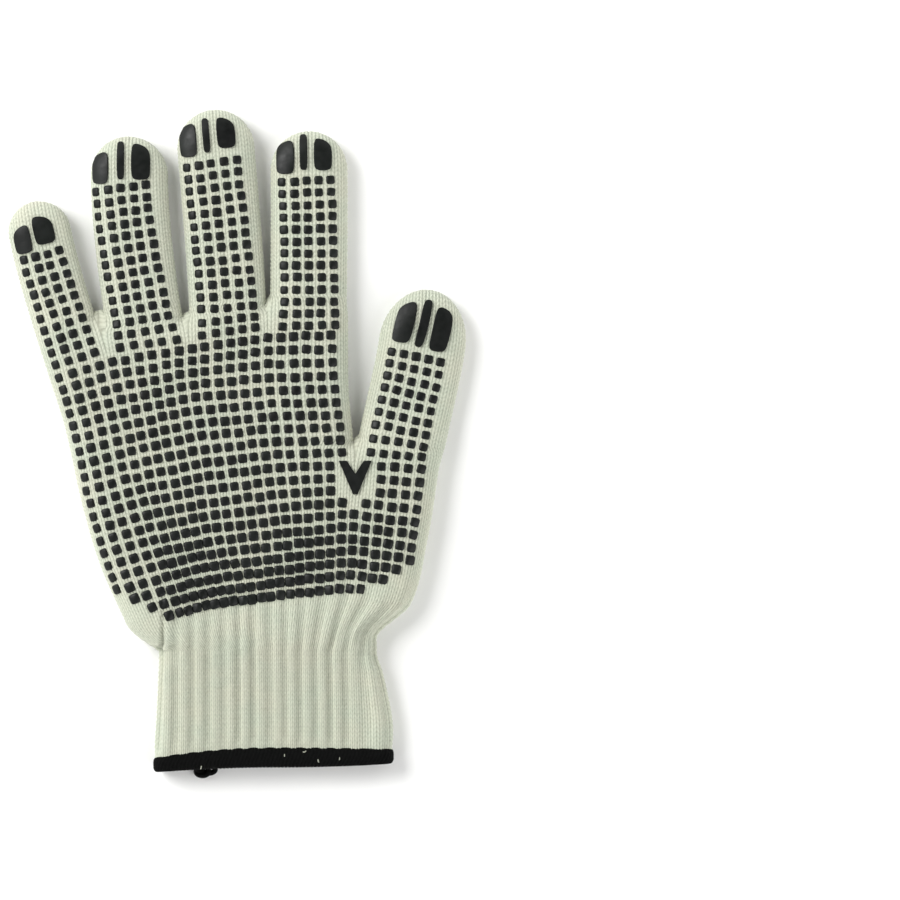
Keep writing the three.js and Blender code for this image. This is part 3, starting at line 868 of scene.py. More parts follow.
@dataclass
class KnitHand:
    """The knitted hand: palm, digits and cuff, each its own piece, joined stitch by stitch. The linings are
    coarse, with some steps to some wales and a pitch along the digits in millimetres. A web eases into the
    fork and closes over some rows. The cuff's wales hang straight except near its sides."""

    lining_steps: int = 5
    lining_wales: int = 8
    lining_rows: int = 14
    lining_pitch: float = 3.0
    web_ease: int = 8
    web_close: int = 2
    side_wales: int = 9
    hang: float = 0.9
    run_samples: int = 400

    def __post_init__(self) -> None:
        """Knits the outer cloth of each piece and its lining."""
        low = self.hand_patch(self.courses(0.0, HAND.fork), DIGITS)
        high = self.hand_patch(self.courses(HAND.fork, HAND.roots), DIGITS[:-1])
        self.rings = {digit.name: self.root_ring(low if digit is THUMB else high, digit) for digit in DIGITS}
        self.wrist = low.points[0]
        outer = {"palm": [low, high]}
        for digit in DIGITS:
            outer[digit.name] = [self.digit_patch(digit)]
        outer["palm"] += self.web_strips(low, high, {digit: outer[digit.name][0] for digit in DIGITS})
        outer["rib_cuff"] = [self.cuff_patch()]
        self.linings = {"palm": self.hand_lining(), "rib_cuff": self.cuff_lining()}
        for digit in DIGITS:
            self.linings[digit.name] = self.digit_lining(digit)
        self.pieces = [ClothPiece(name, patches) for name, patches in outer.items()]
        self.raise_stitches()

    @staticmethod
    def courses(start: float, end: float) -> Floats:
        """Heights of the rows of samples between two heights of the hand."""
        count = round((end - start) * GAUGE.samples_per_course / GAUGE.course)
        return np.linspace(start, end, count + 1)

    @staticmethod
    def hand_patch(v: Floats, digits: Sequence[DigitPattern]) -> Patch:
        """Closed cloth of the hand over some heights, across the given digits.

        Args:
            v: Heights of its rows above the wrist.
            digits: The digits whose columns it runs over.

        Returns:
            The patch.
        """
        sides = []
        for face in Face:
            columns, wales = hand_columns(v, digits, face)
            there = HAND.cloth(columns, v[:, None]).on(face)
            sides.append(with_stitches(there, wales[None, :], v[:, None] / GAUGE.course))
        cloth = closed_rows(*sides)
        ribs = RIBS.on_hand(cloth[..., 0], cloth[..., 3], cloth[..., 4] * GAUGE.course)
        return Patch(cloth, closed=True, relief=ribs)

    @staticmethod
    def root_ring(patch: Patch, digit: DigitPattern) -> Floats:
        """The points of the hand's last row that a digit grows from, in the digit's own order.

        Args:
            patch: The cloth of the hand.
            digit: The digit.

        Returns:
            The ring's points.
        """
        wales = patch.stitches[-1, :, 0]
        top_count = int(np.argmax(wales)) + 1
        low, high = wale_of(digit.start), wale_of(digit.start) + digit.wales
        row = patch.points[-1]
        top = row[:top_count][(wales[:top_count] >= low) & (wales[:top_count] <= high)]
        under = row[top_count:][(wales[top_count:] > low) & (wales[top_count:] < high)]
        return np.concatenate([top, under])

    def digit_rows(self, digit: DigitPattern, inset: float, step: float) -> tuple[Floats, Floats]:
        """Distances from the root of a digit's rows, equally long on the cloth, and their run.

        Args:
            digit: The digit.
            inset: 0 for the outer face, the wall for the lining.
            step: Length of a step on the cloth.

        Returns:
            The distances and the run to each.
        """
        end = digit.reach(HAND) - inset
        fine = end * np.sin(np.linspace(0, np.pi / 2, self.run_samples))
        points = digit.cloth(HAND, 0.0, fine, inset).on(Face.PALM_SIDE)
        run = np.concatenate([[0.0], np.cumsum(np.linalg.norm(np.diff(points, axis=0), axis=1))])
        count = round(run[-1] / step)
        wanted = np.linspace(0, run[-1], count + 1)
        return np.interp(wanted, run, fine), wanted

    def digit_patch(self, digit: DigitPattern) -> Patch:
        """Closed cloth of a digit from its root ring to its tip.

        Args:
            digit: The digit.

        Returns:
            The patch.
        """
        along, run = self.digit_rows(digit, 0.0, GAUGE.course / GAUGE.samples_per_course)
        base = HAND.row_height(digit.row) / GAUGE.course
        middle = wale_of(digit.start) + digit.wales / 2
        sides, spread = [], None
        for face in Face:
            def surface(a: Floats, s: Floats) -> Floats:
                """One face of the digit."""
                return digit.cloth(HAND, a, s).on(face)

            count = digit.wales * face.value
            steps = even_steps(surface, -1.0, 1.0, along, count)
            there = surface(steps, along[:, None])
            if spread is None:
                arc = np.linalg.norm(np.diff(there, axis=1), axis=2).sum(1)
                spread = arc / arc[0]
            share = np.linspace(-1, 1, count + 1)[None, :] * spread[:, None]
            wale = middle + share * digit.wales / 2
            sides.append(with_stitches(there, wale, (base + run / GAUGE.course)[:, None]))
        cloth = closed_rows(*sides)
        cloth[0, :, :3] = self.rings[digit.name]
        return Patch(cloth, closed=True)

    def open_side(self, patch: Patch, at_end: bool, count: int) -> tuple[Floats, Floats]:
        """Opens one side of a cloth above a fork.

        Args:
            patch: The cloth of the hand or of a digit.
            at_end: Whether the side is the one with the highest wale.
            count: Number of rows that the web takes.

        Returns:
            Points with stitches up the palm side and up the back of the opening.
        """
        top = int(np.argmax(patch.stitches[0, :, 0]))
        last = patch.points.shape[1] - 1
        edge, back, wall = (top, top + 1, top) if at_end else (0, last, last)
        patch.cuts.append((wall, count - self.web_close))
        return patch.cloth[:count, edge], patch.cloth[:count, back]

    def web_strips(self, low: Patch, high: Patch, digits: dict[DigitPattern, Patch]) -> list[Patch]:
        """Narrow cloth that joins two neighbours above their fork, on the palm side and on the back.

        Args:
            low: The cloth of the hand below the thumb's fork.
            high: The cloth of the hand above it.
            digits: The cloth of each digit.

        Returns:
            Two strips for each fork.
        """
        strips = []
        for line, reach in HAND.webs:
            left = next(patch for digit, patch in digits.items() if digit.end is line)
            left, below = (high, low) if line is Line.INDEX else (left, high)
            right = next(patch for digit, patch in digits.items() if digit.start is line)
            count = 1 + int(np.ceil(reach * GAUGE.samples_per_course / GAUGE.course))
            (a, a_back), (b, b_back) = self.open_side(left, True, count), self.open_side(right, False, count)
            turn = int(np.argmax(below.stitches[-1, :, 0]))
            corner = turn + int(np.argmin(np.abs(below.stitches[-1, turn:, 0] - wale_of(line))))
            under = mix(a_back, b_back, 0.5)
            ease = 1 - smooth(np.arange(count) / self.web_ease)
            under += (below.cloth[-1, corner] - under[0]) * ease[:, None]
            top = np.stack([a, mix(a, b, 0.5), b], axis=1)
            back = np.stack([b_back, under, a_back], axis=1)
            back[-1] = top[-1, ::-1]
            strips += [Patch(top), Patch(back)]
        return strips

    def cuff_patch(self) -> Patch:
        """Closed cloth of the cuff from the wrist down.

        Returns:
            The patch.
        """
        count = round(CUFF.length * GAUGE.samples_per_course / GAUGE.course)
        t = np.linspace(0, 1, count + 1)
        sides, total = [], wale_of(Line.THUMB)
        for face in Face:
            steps = even_steps(lambda a, s: CUFF.cloth(a, s).on(face), -1.0, 1.0, t, total * face.value)
            columns, wales = hand_columns(np.zeros(1), DIGITS, face)
            centre, half = CUFF.span(t[:, None])
            hung = (HAND.plan(columns, 0.0)[0] - centre) / half
            from_side = np.minimum(wales, total - wales) / self.side_wales
            steps = mix(steps, hung, self.hang * smooth(from_side))
            there = CUFF.cloth(steps, t[:, None]).on(face)
            sides.append(with_stitches(there, wales[None, :], (-t * CUFF.length / GAUGE.course)[:, None]))
        cloth = closed_rows(*sides)
        drift = self.wrist - cloth[0, :, :3]
        cloth[..., :3] += drift[None] * (1 - smooth(t / CUFF.settle))[:, None, None]
        return Patch(cloth, closed=True, inward=True, relief=RIBS.on_cuff(cloth[..., 3], t[:, None]))

    def lining_patch(self, surface: Callable[[Floats, Floats], Points], start: float, end: float,
                     rows: Floats, places: Floats, wales: tuple[float, float], flip: bool) -> Patch:
        """Coarse closed lining with its stitches.

        Args:
            surface: Gives the lining's points.
            start: Where it starts across.
            end: Where it ends across.
            rows: Its rows, as the surface takes them.
            places: Their heights on the hand, for the courses.
            wales: The wales at the start and the end.
            flip: Whether its rows run down the hand.

        Returns:
            The patch.
        """
        count = 1 + round(abs(wales[1] - wales[0])) * self.lining_steps // self.lining_wales
        share = (1 - np.cos(np.linspace(0, np.pi, count + 1))) / 2
        across = (start + (end - start) * share)[None, :]
        made = surface(across, rows[:, None])
        wale, course = mix(wales[0], wales[1], share)[None, :], (places / GAUGE.course)[:, None]
        cloth = closed_rows(*(with_stitches(made.on(face), wale, course) for face in Face))
        return Patch(cloth, closed=True, inward=not flip)

    def hand_lining(self) -> list[Patch]:
        """Lining of the hand, below and above the thumb's fork.

        Returns:
            The two patches.
        """
        made = []
        for low, high, digits in ((0.0, HAND.fork, DIGITS), (HAND.fork, HAND.roots, DIGITS[:-1])):
            rows = np.linspace(low, high, self.lining_rows)
            wales = (0, wale_of(digits[-1].start) + digits[-1].wales)
            made.append(self.lining_patch(lambda c, v: HAND.cloth(c, v, HAND.wall), Line.EDGE.value,
                                          digits[-1].end.value, rows, rows, wales, False))
        return made

    def digit_lining(self, digit: DigitPattern) -> list[Patch]:
        """Lining of a digit.

        Args:
            digit: The digit.

        Returns:
            Its only patch, in a list.
        """
        along, run = self.digit_rows(digit, HAND.wall, self.lining_pitch)
        wales = (wale_of(digit.start), wale_of(digit.start) + digit.wales)
        return [self.lining_patch(lambda a, s: digit.cloth(HAND, a, s, HAND.wall), -1.0, 1.0, along,
                                  HAND.row_height(digit.row) + run, wales, False)]

    def cuff_lining(self) -> list[Patch]:
        """Lining of the cuff.

        Returns:
            Its only patch, in a list.
        """
        t = np.linspace(0, 1, self.lining_rows)
        wales = (0, wale_of(Line.THUMB))
        return [self.lining_patch(lambda a, s: CUFF.cloth(a, s, -HAND.wall), -1.0, 1.0, t,
                                  -t * CUFF.length, wales, True)]

    def raise_stitches(self) -> None:
        """Lifts the stitches and ribs off the plain cloth, and flattens what rests on the surface."""
        for piece, normals in zip(self.pieces, shared_normals(self.pieces)):
            wale, course = piece.stitches[:, 0], piece.stitches[:, 1]
            lift = GAUGE.relief * (GAUGE.stitch(wale, course) - 0.5) + piece.relief
            piece.points = piece.points + normals * lift[:, None]
            piece.points[:, 2] = np.maximum(piece.points[:, 2], 0.0)

    def build(self, material: bpy.types.Material) -> None:
        """Makes the objects, each standing for its node.

        Args:
            material: Its finish.
        """
        for piece, normals in zip(self.pieces, shared_normals(self.pieces)):
            lining = ClothPiece(piece.name, self.linings[piece.name])
            inside = shared_normals([lining])[0]
            start = len(piece.points)
            made = make_mesh(
                f"{piece.name}_knit",
                np.concatenate([piece.points, lining.points]),
                np.concatenate([piece.quads, lining.quads + start]),
                np.concatenate([piece.stitches, lining.stitches]),
                np.concatenate([normals, inside]),
            )
            put_on(made, Slot.KNIT, material, piece.name)


@dataclass(frozen=True)
class HemRow:
    """A row round the hem: its place down the hem's height and how far it stands off the cuff."""

    at: float
    out: float


@dataclass(frozen=True)
class Hem:
    """Overlocked hem of black thread round the open end of the cuff, with the knotted end of its chain."""

    height: float = 6.9
    end_share: float = 0.72
    wrap: float = 1.25
    wrap_relief: float = 0.4
    wrap_level: float = 0.6
    wrap_slant: float = 0.35
    samples: int = 420
    rows: tuple[HemRow, ...] = (
        HemRow(-0.06, -0.15),
        HemRow(0.0, 0.3),
        HemRow(0.08, 0.62),
        HemRow(0.2, 0.78),
        HemRow(0.36, 0.82),
        HemRow(0.52, 0.82),
        HemRow(0.68, 0.78),
        HemRow(0.82, 0.62),
        HemRow(0.93, 0.3),
        HemRow(0.99, -0.2),
        HemRow(1.0, -0.7),
        HemRow(0.97, -1.3),
        HemRow(0.85, -1.85),
        HemRow(0.5, -2.0),
        HemRow(0.15, -2.0),
        HemRow(-0.06, -1.75),
    )

    @property
    def girth(self) -> float:
        """Run of thread round the hem."""
        return 4 * CUFF.half(1.0)

    def bottom(self, x: Floats) -> Floats:
        """Height of the hem at an x across it."""
        return self.height * (1 - (1 - self.end_share) * clamp(np.abs(CUFF.across(x))) ** 2)

    def loop(self, row: HemRow) -> Floats:
        """One closed row of the hem, with the run round it and down it in millimetres for its stitches.

        Args:
            row: The row.

        Returns:
            The row's cloth.
        """
        sides = []
        for face in Face:
            def surface(a: Floats, t: Floats) -> Floats:
                """The cuff's lower section, stood off by the row."""
                return CUFF.cloth(a, t, row.out).on(face)

            steps = even_steps(surface, -1.0, 1.0, np.array([1.0]), self.samples)
            there = surface(steps, np.ones((1, 1)))
            there[..., 1] -= row.at * self.bottom(there[..., 0])
            run = np.linspace(0, self.girth / 2, self.samples + 1)[None]
            home = run if face is Face.PALM_SIDE else self.girth - run
            sides.append(with_stitches(there, home, row.at * self.height))
        return closed_rows(*sides)[0]

    def build(self, material: bpy.types.Material) -> None:
        """Makes the band, wrapped with slanting thread.

        Args:
            material: Its finish.
        """
        cloth = np.stack([self.loop(row) for row in self.rows])
        turns = round(self.girth / self.wrap)
        phase = np.pi * (turns * cloth[..., 3] / self.girth + self.wrap_slant * cloth[..., 4] / self.wrap)
        relief = self.wrap_relief * (np.abs(np.sin(phase)) - self.wrap_level)
        relief[0] = relief[-1] = 0.0
        piece = ClothPiece("hem", [Patch(cloth, closed=True, inward=True, relief=relief)])
        piece.points = piece.points + shared_normals([piece])[0] * piece.relief[:, None]
        piece.points[:, 2] = np.maximum(piece.points[:, 2], 0.0)
        made = make_mesh("hem_overlock", piece.points, piece.quads, piece.stitches,
                         shared_normals([piece])[0])
        put_on(made, Slot.HEM, material, "hem")


@dataclass(frozen=True)
class Knot:
    """Knotted end of the overlock chain: an overhand knot in a doubled thread, pressed flat and tucked a
    little under the hem. Its spread is in shares of its size, across and down."""

    x: float = -24.9
    size: float = 2.2
    thread: float = 0.95
    flat: float = 0.6
    rise: float = 1.9
    spread: tuple[float, float] = (0.58, 0.36)
    tuck: float = 0.3
    samples: int = 160
    sides: int = 12

    def path(self) -> Floats:
        """Middle line of the thread in the knot, closed.

        Returns:
            The line's points.
        """
        t = np.linspace(0, 2 * np.pi, self.samples, endpoint=False)
        reach = 2 + np.cos(3 * t)
        x, y = reach * np.cos(2 * t), reach * np.sin(2 * t)
        x0 = CUFF.width * CUFF.read("centre", 1.0) + self.x
        y0 = -CUFF.end(x0) - HEM.bottom(x0)
        z = self.rise + self.flat * np.sin(3 * t)
        wide, tall = (share * self.size for share in self.spread)
        return np.stack([x0 + wide * x, y0 - self.tuck + tall * y, z], -1)

    def build(self, material: bpy.types.Material) -> None:
        """Makes the knot as a tube."""
        made = tube("hem_knot", self.path(), self.thread, self.sides, closed=True)
        put_on(made, Slot.HEM, material)


def tube(name: str, path: Floats, radius: float, sides: int, closed: bool = False) -> bpy.types.Object:
    """A round thread along a path.

    Args:
        name: The object's name.
        path: Its middle line in millimetres.
        radius: Half its thickness.
        sides: Faces round it.
        closed: Whether its end joins its start.

    Returns:
        The object.
    """
    ahead = np.roll(path, -1, axis=0) - np.roll(path, 1, axis=0)
    if not closed:
        ahead[0], ahead[-1] = path[1] - path[0], path[-1] - path[-2]
    ahead /= np.linalg.norm(ahead, axis=1, keepdims=True)
    side = np.cross(ahead, np.array([0.0, 0.0, 1.0]))
    side /= np.maximum(np.linalg.norm(side, axis=1, keepdims=True), TINY)
    up = np.cross(side, ahead)
    turn = np.linspace(0, 2 * np.pi, sides, endpoint=False)
    ring = side[:, None] * np.cos(turn)[None, :, None] + up[:, None] * np.sin(turn)[None, :, None]
    points = path[:, None] + radius * ring
    if closed:
        points = np.concatenate([points, points[:1]])
    else:
        points = np.concatenate([path[:1, None] + 0 * ring[:1], points, path[-1:, None] + 0 * ring[-1:]])
    cloth = with_stitches(points, np.arange(len(points), dtype=float)[:, None], turn[None, :])
    piece = ClothPiece(name, [Patch(cloth, closed=True, inward=True)])
    return make_mesh(name, piece.points, piece.quads, piece.stitches)


HEM = Hem()


@dataclass(frozen=True)
class Stamp:
    """Section of one soft plastic dot: rings out from its middle, as shares of its half width and heights
    in millimetres over the cloth."""

    half: float = 1.52
    power: float = 6.0
    corners: int = 20
    rings: tuple[tuple[float, float], ...] = (
        (1.0, -0.4), (1.02, 0.1), (0.97, 0.36), (0.84, 0.55), (0.5, 0.66),
    )
    crown: float = 0.69

    def points(self) -> Floats:
        """Rings of the dot and its crown as x, y and height.

        Returns:
            The points, ring by ring.
        """
        turn = np.linspace(0, 2 * np.pi, self.corners, endpoint=False)
        c, s = np.cos(turn), np.sin(turn)
        reach = (np.abs(c) ** self.power + np.abs(s) ** self.power) ** (-1 / self.power)
        made = [np.stack([self.half * r * reach * c, self.half * r * reach * s, np.full(len(c), z)], -1)
                for r, z in self.rings]
        return np.concatenate([*made, [[0.0, 0.0, self.crown]]])

    def faces(self) -> Floats:
        """Corners of the dot's faces; the crown's repeat a corner.

        Returns:
            One line for each face.
        """
        i = np.arange(len(self.rings) - 1)[:, None] * self.corners
        j = np.arange(self.corners)[None, :]
        k = (j + 1) % self.corners
        quads = np.stack(np.broadcast_arrays(i + j, i + k, i + self.corners + k, i + self.corners + j), -1)
        last = (len(self.rings) - 1) * self.corners
        tip = last + self.corners
        fan = np.stack([last + j[0], last + k[0], np.full(self.corners, tip), np.full(self.corners, tip)], -1)
        return np.concatenate([quads.reshape(-1, 4), fan])


def lay_on(surface: Surface, p: Floats, q: Floats, local: Floats, turn: Floats) -> Floats:
    """Lays copies of a small shape on a surface, bent to it.

    Args:
        surface: Gives points for two places.
        p: First place of each copy.
        q: Second place of each copy.
        local: The shape as x, y and height, in millimetres.
        turn: A small turn of each copy in radians.

    Returns:
        Points of every copy.
    """
    step = 1e-3
    across = (surface(p + step, q) - surface(p - step, q)) / (2 * step)
    up = (surface(p, q + step) - surface(p, q - step)) / (2 * step)
    long = np.linalg.norm(up, axis=-1)
    ahead = up / long[:, None]
    normal = np.cross(across, up)
    normal /= np.linalg.norm(normal, axis=-1, keepdims=True)
    side = np.cross(ahead, normal)
    c, s = np.cos(turn)[:, None], np.sin(turn)[:, None]
    dx = c * local[None, :, 0] - s * local[None, :, 1]
    dy = s * local[None, :, 0] + c * local[None, :, 1]
    dp = dx / np.sum(across * side, -1)[:, None]
    dq = (dy - dp * np.sum(across * ahead, -1)[:, None]) / long[:, None]
    pp, qq = p[:, None] + dp, q[:, None] + dq
    there = surface(pp, qq)
    a = surface(pp + step, qq) - surface(pp - step, qq)
    b = surface(pp, qq + step) - surface(pp, qq - step)
    out = np.cross(a, b)
    out /= np.maximum(np.linalg.norm(out, axis=-1, keepdims=True), TINY)
    return there + out * local[None, :, 2:3]


@dataclass(frozen=True)
class DotRows:
    """Grip dots of one digit: its columns of the dot field, its first and last row, the outer columns'
    places across as shares of the half width, at the root and at the tip, how far its rows slant, how far
    they are printed off their pitch, how far its columns bow, the pitch of its rows, and the row that would
    lie on the digit's root."""

    digit: DigitPattern
    columns: tuple[int, int]
    rows: tuple[int, int]
    root: tuple[float, float]
    tip: tuple[float, float]
    skew: float
    shift: float = 0.0
    bow: float = 0.0
    pitch: float = 4.34
    zero: float = 12.3


@dataclass(frozen=True)
class Drift:
    """A region where the print drifts: how far, and the columns and rows over which the drift grows, each
    from the first to the second. It may end again over a second run of rows."""

    amount: float
    columns: tuple[float, float]
    rows: tuple[float, float]
    until: tuple[float, float] | None = None

    def at(self, column: Floats, row: Floats) -> Floats:
        """The drift of a dot."""
        runs = [(column, self.columns), (row, self.rows)] + ([(row, self.until)] if self.until else [])
        return self.amount * np.prod([smooth((place - a) / (b - a)) for place, (a, b) in runs], axis=0)


@dataclass(frozen=True)
class DotField:
    """Soft plastic dots printed on the palm side, in columns and rows that follow the knit. Places and drifts
    across are in the hand's columns, those along it in millimetres. The lowest rows sag at the little-finger
    end and rise at the thumb's, and a bare margin is left round the wedge in the thumb's fork."""

    stamp: Stamp = Stamp()
    columns: int = 28
    first_column: float = 0.6
    column_pitch: float = 0.968
    column_bow: float = 0.3
    column_mm: float = 4.0
    row_start: float = 0.2
    row_pitch: float = 4.62
    row_slow: float = 0.034
    palm_size: tuple[float, float] = (1.07, 1.14)
    first_row: int = 13
    fork_row: int = 23
    last_row: int = 33
    thumb_column: int = 22
    thumb_column_start: int = 27
    corner_ends: tuple[tuple[int, int], ...] = (
        (0, 30), (1, 31), (2, 32), (24, 32), (25, 32), (26, 31), (27, 30),
    )
    bare_columns: tuple[int, ...] = (21, 22, 23)
    bare_rows: tuple[int, ...] = (23, 24, 25)
    across_drifts: tuple[Drift, ...] = (
        Drift(-0.34, (0, 5), (19, 13)),
        Drift(0.05, (2, 0), (12, 18), (24, 18)),
        Drift(-0.2, (6, 0), (26, 33)),
        Drift(0.2, (19, 22), (23, 30)),
    )
    along_drifts: tuple[Drift, ...] = (
        Drift(1.5, (13, 27), (26, 33)),
        Drift(-2.2, (8, 0), (26, 33)),
        Drift(0.65, (4, 10), (17, 13)),
    )
    skew_full: float = 0.625
    slip: float = 0.12
    twist: float = 0.05
    size_spread: float = 0.03
    seed: int = 11
    digits: tuple[DotRows, ...] = (
        DotRows(LITTLE, (0, 3), (3, 12), (-0.68, 0.64), (-0.75, 0.42), 0.3, 0.0, 0.25),
        DotRows(RING, (5, 9), (-1, 12), (-0.66, 0.71), (-0.93, 0.35), 1.7, 0.0, -0.2),
        DotRows(MIDDLE, (11, 15), (-2, 12), (-0.65, 0.71), (-0.84, 0.45), 1.4),
        DotRows(INDEX, (17, 21), (0, 12), (-0.62, 0.68), (-0.76, 0.5), 0.8, -0.55, 0.5),
        DotRows(THUMB, (23, 27), (14, 22), (-0.66, 0.53), (-0.66, 0.47), -0.5, pitch=4.49, zero=23.05),
    )

    def column_place(self, column: Floats, row: Floats) -> Floats:
        """Column of the hand that a dot lies on.

        Args:
            column: Its column of the dot field.
            row: Its row of the dot field.

        Returns:
            The column.
        """
        bow = self.column_bow * np.sin(np.pi * column / (self.columns - 1))
        drift = sum(drift.at(column, row) for drift in self.across_drifts)
        return self.first_column + self.column_pitch * column + bow + drift

    def row_place(self, column: Floats, row: Floats) -> Floats:
        """Height on the hand of a dot.

        Args:
            column: Its column of the dot field.
            row: Its row of the dot field.

        Returns:
            The height above the wrist.
        """
        past = row - self.fork_row
        place = HAND.fork + self.row_start - self.row_pitch * past + self.row_slow * np.maximum(past, 0) ** 2
        return place + sum(drift.at(column, row) for drift in self.along_drifts)

    def ends(self, column: int) -> range:
        """Rows of dots in a column of the palm.

        Args:
            column: Column of the dot field.

        Returns:
            The rows.
        """
        first = self.first_row if column < self.thumb_column else self.fork_row
        if column == self.thumb_column:
            first = self.thumb_column_start
        return range(first, dict(self.corner_ends).get(column, self.last_row) + 1)

    def on_palm(self) -> tuple[Floats, Floats]:
        """Columns and rows of the palm's dots.

        Returns:
            The columns and the rows.
        """
        cells = [(column, row) for column in range(self.columns) for row in self.ends(column)
                 if not (column in self.bare_columns and row in self.bare_rows)]
        return tuple(np.array(cells, float).T)

    @staticmethod
    def palm_surface(column: Floats, v: Floats) -> Floats:
        """Palm side of the hand with its ribs. In the thumb's columns the fork's own heights carry on.

        Args:
            column: Column across the hand.
            v: Height above the wrist.

        Returns:
            The points.
        """
        held = np.where(column > Line.INDEX.value, np.minimum(v, HAND.fork), v)
        points = HAND.cloth(column, v).on(Face.PALM_SIDE)
        wale = np.interp(column, [line.value for line in Line], [wale_of(line) for line in Line])
        points[..., 2] = HAND.cloth(column, held).top + RIBS.on_hand(points[..., 0], wale, v)
        return points

    def stamped(self, name: str, surface: Surface, p: Floats, q: Floats, material: bpy.types.Material,
                scale: Floats | float = 1.0) -> None:
        """Makes one piece of dots on a surface.

        Args:
            name: The piece's name.
            surface: What the dots lie on.
            p: First place of each dot on it.
            q: Second place of each dot on it.
            material: Its finish.
            scale: Size of each dot against the stamp.
        """
        random = np.random.default_rng(self.seed + len(p))
        turn = random.normal(0, self.twist, len(p))
        local = self.stamp.points()
        points = lay_on(surface, p, q, local, turn)
        size = random.normal(scale, self.size_spread, len(p))[:, None, None]
        points = points.mean(1, keepdims=True) + (points - points.mean(1, keepdims=True)) * size
        faces = self.stamp.faces()[None] + (np.arange(len(p)) * len(local))[:, None, None]
        made = make_mesh(name, points.reshape(-1, 3), faces.reshape(-1, 4))
        put_on(made, Slot.GRIP, material)

    def build(self, material: bpy.types.Material) -> None:
        """Makes the dots of the palm and of each digit.

        Args:
            material: Its finish.
        """
        random = np.random.default_rng(self.seed)
        column, row = self.on_palm()
        p = self.column_place(column, row) + random.normal(0, self.slip / self.column_mm, len(column))
        q = self.row_place(column, row) + random.normal(0, self.slip, len(row))
        size = mix(*self.palm_size, smooth((row - self.fork_row) / (self.last_row - self.fork_row)))
        self.stamped("palm_dots", self.palm_surface, p, q, material, size)
        for dots in self.digits:
            self.digit_dots(dots, random, material)

    def digit_dots(self, dots: DotRows, random: np.random.Generator, material: bpy.types.Material) -> None:
        """Makes the dots of one digit.

        Args:
            dots: Its rows.
            random: Where the slips are drawn from.
            material: Its finish.
        """
        digit = dots.digit
        columns, rows = np.meshgrid(np.arange(dots.columns[0], dots.columns[1] + 1),
                                    np.arange(dots.rows[0], dots.rows[1] + 1))
        share = (columns.ravel() - dots.columns[0]) / (dots.columns[1] - dots.columns[0])
        along = dots.pitch * (dots.zero - rows.ravel()) + dots.shift
        up = along / digit.reach(HAND)
        along = along + dots.skew * (share - 0.5) * clamp(up / self.skew_full)
        first, last = mix(dots.root[0], dots.tip[0], up), mix(dots.root[1], dots.tip[1], up)
        across = mix(first, last, share) * digit.half(HAND) + dots.bow * np.sin(np.pi * clamp(up))
        across = across + random.normal(0, self.slip, len(share))
        along = along + random.normal(0, self.slip, len(share))

        def surface(a: Floats, b: Floats) -> Floats:
            """Palm side of the digit, for a distance from its middle line."""
            return digit.cloth(HAND, a / digit.half_at(HAND, b), b).on(Face.PALM_SIDE)

        self.stamped(f"{digit.name}_dots", surface, across, along, material)


@dataclass(frozen=True)
class Pad:
    """Grip pad near a fingertip: its node, its run across as shares of the half width, its far and near
    ends from the tip in half widths, and how far it leans across."""

    name: str
    digit: DigitPattern
    across: tuple[float, float]
    from_tip: tuple[float, float]
    slant: float = 0.0


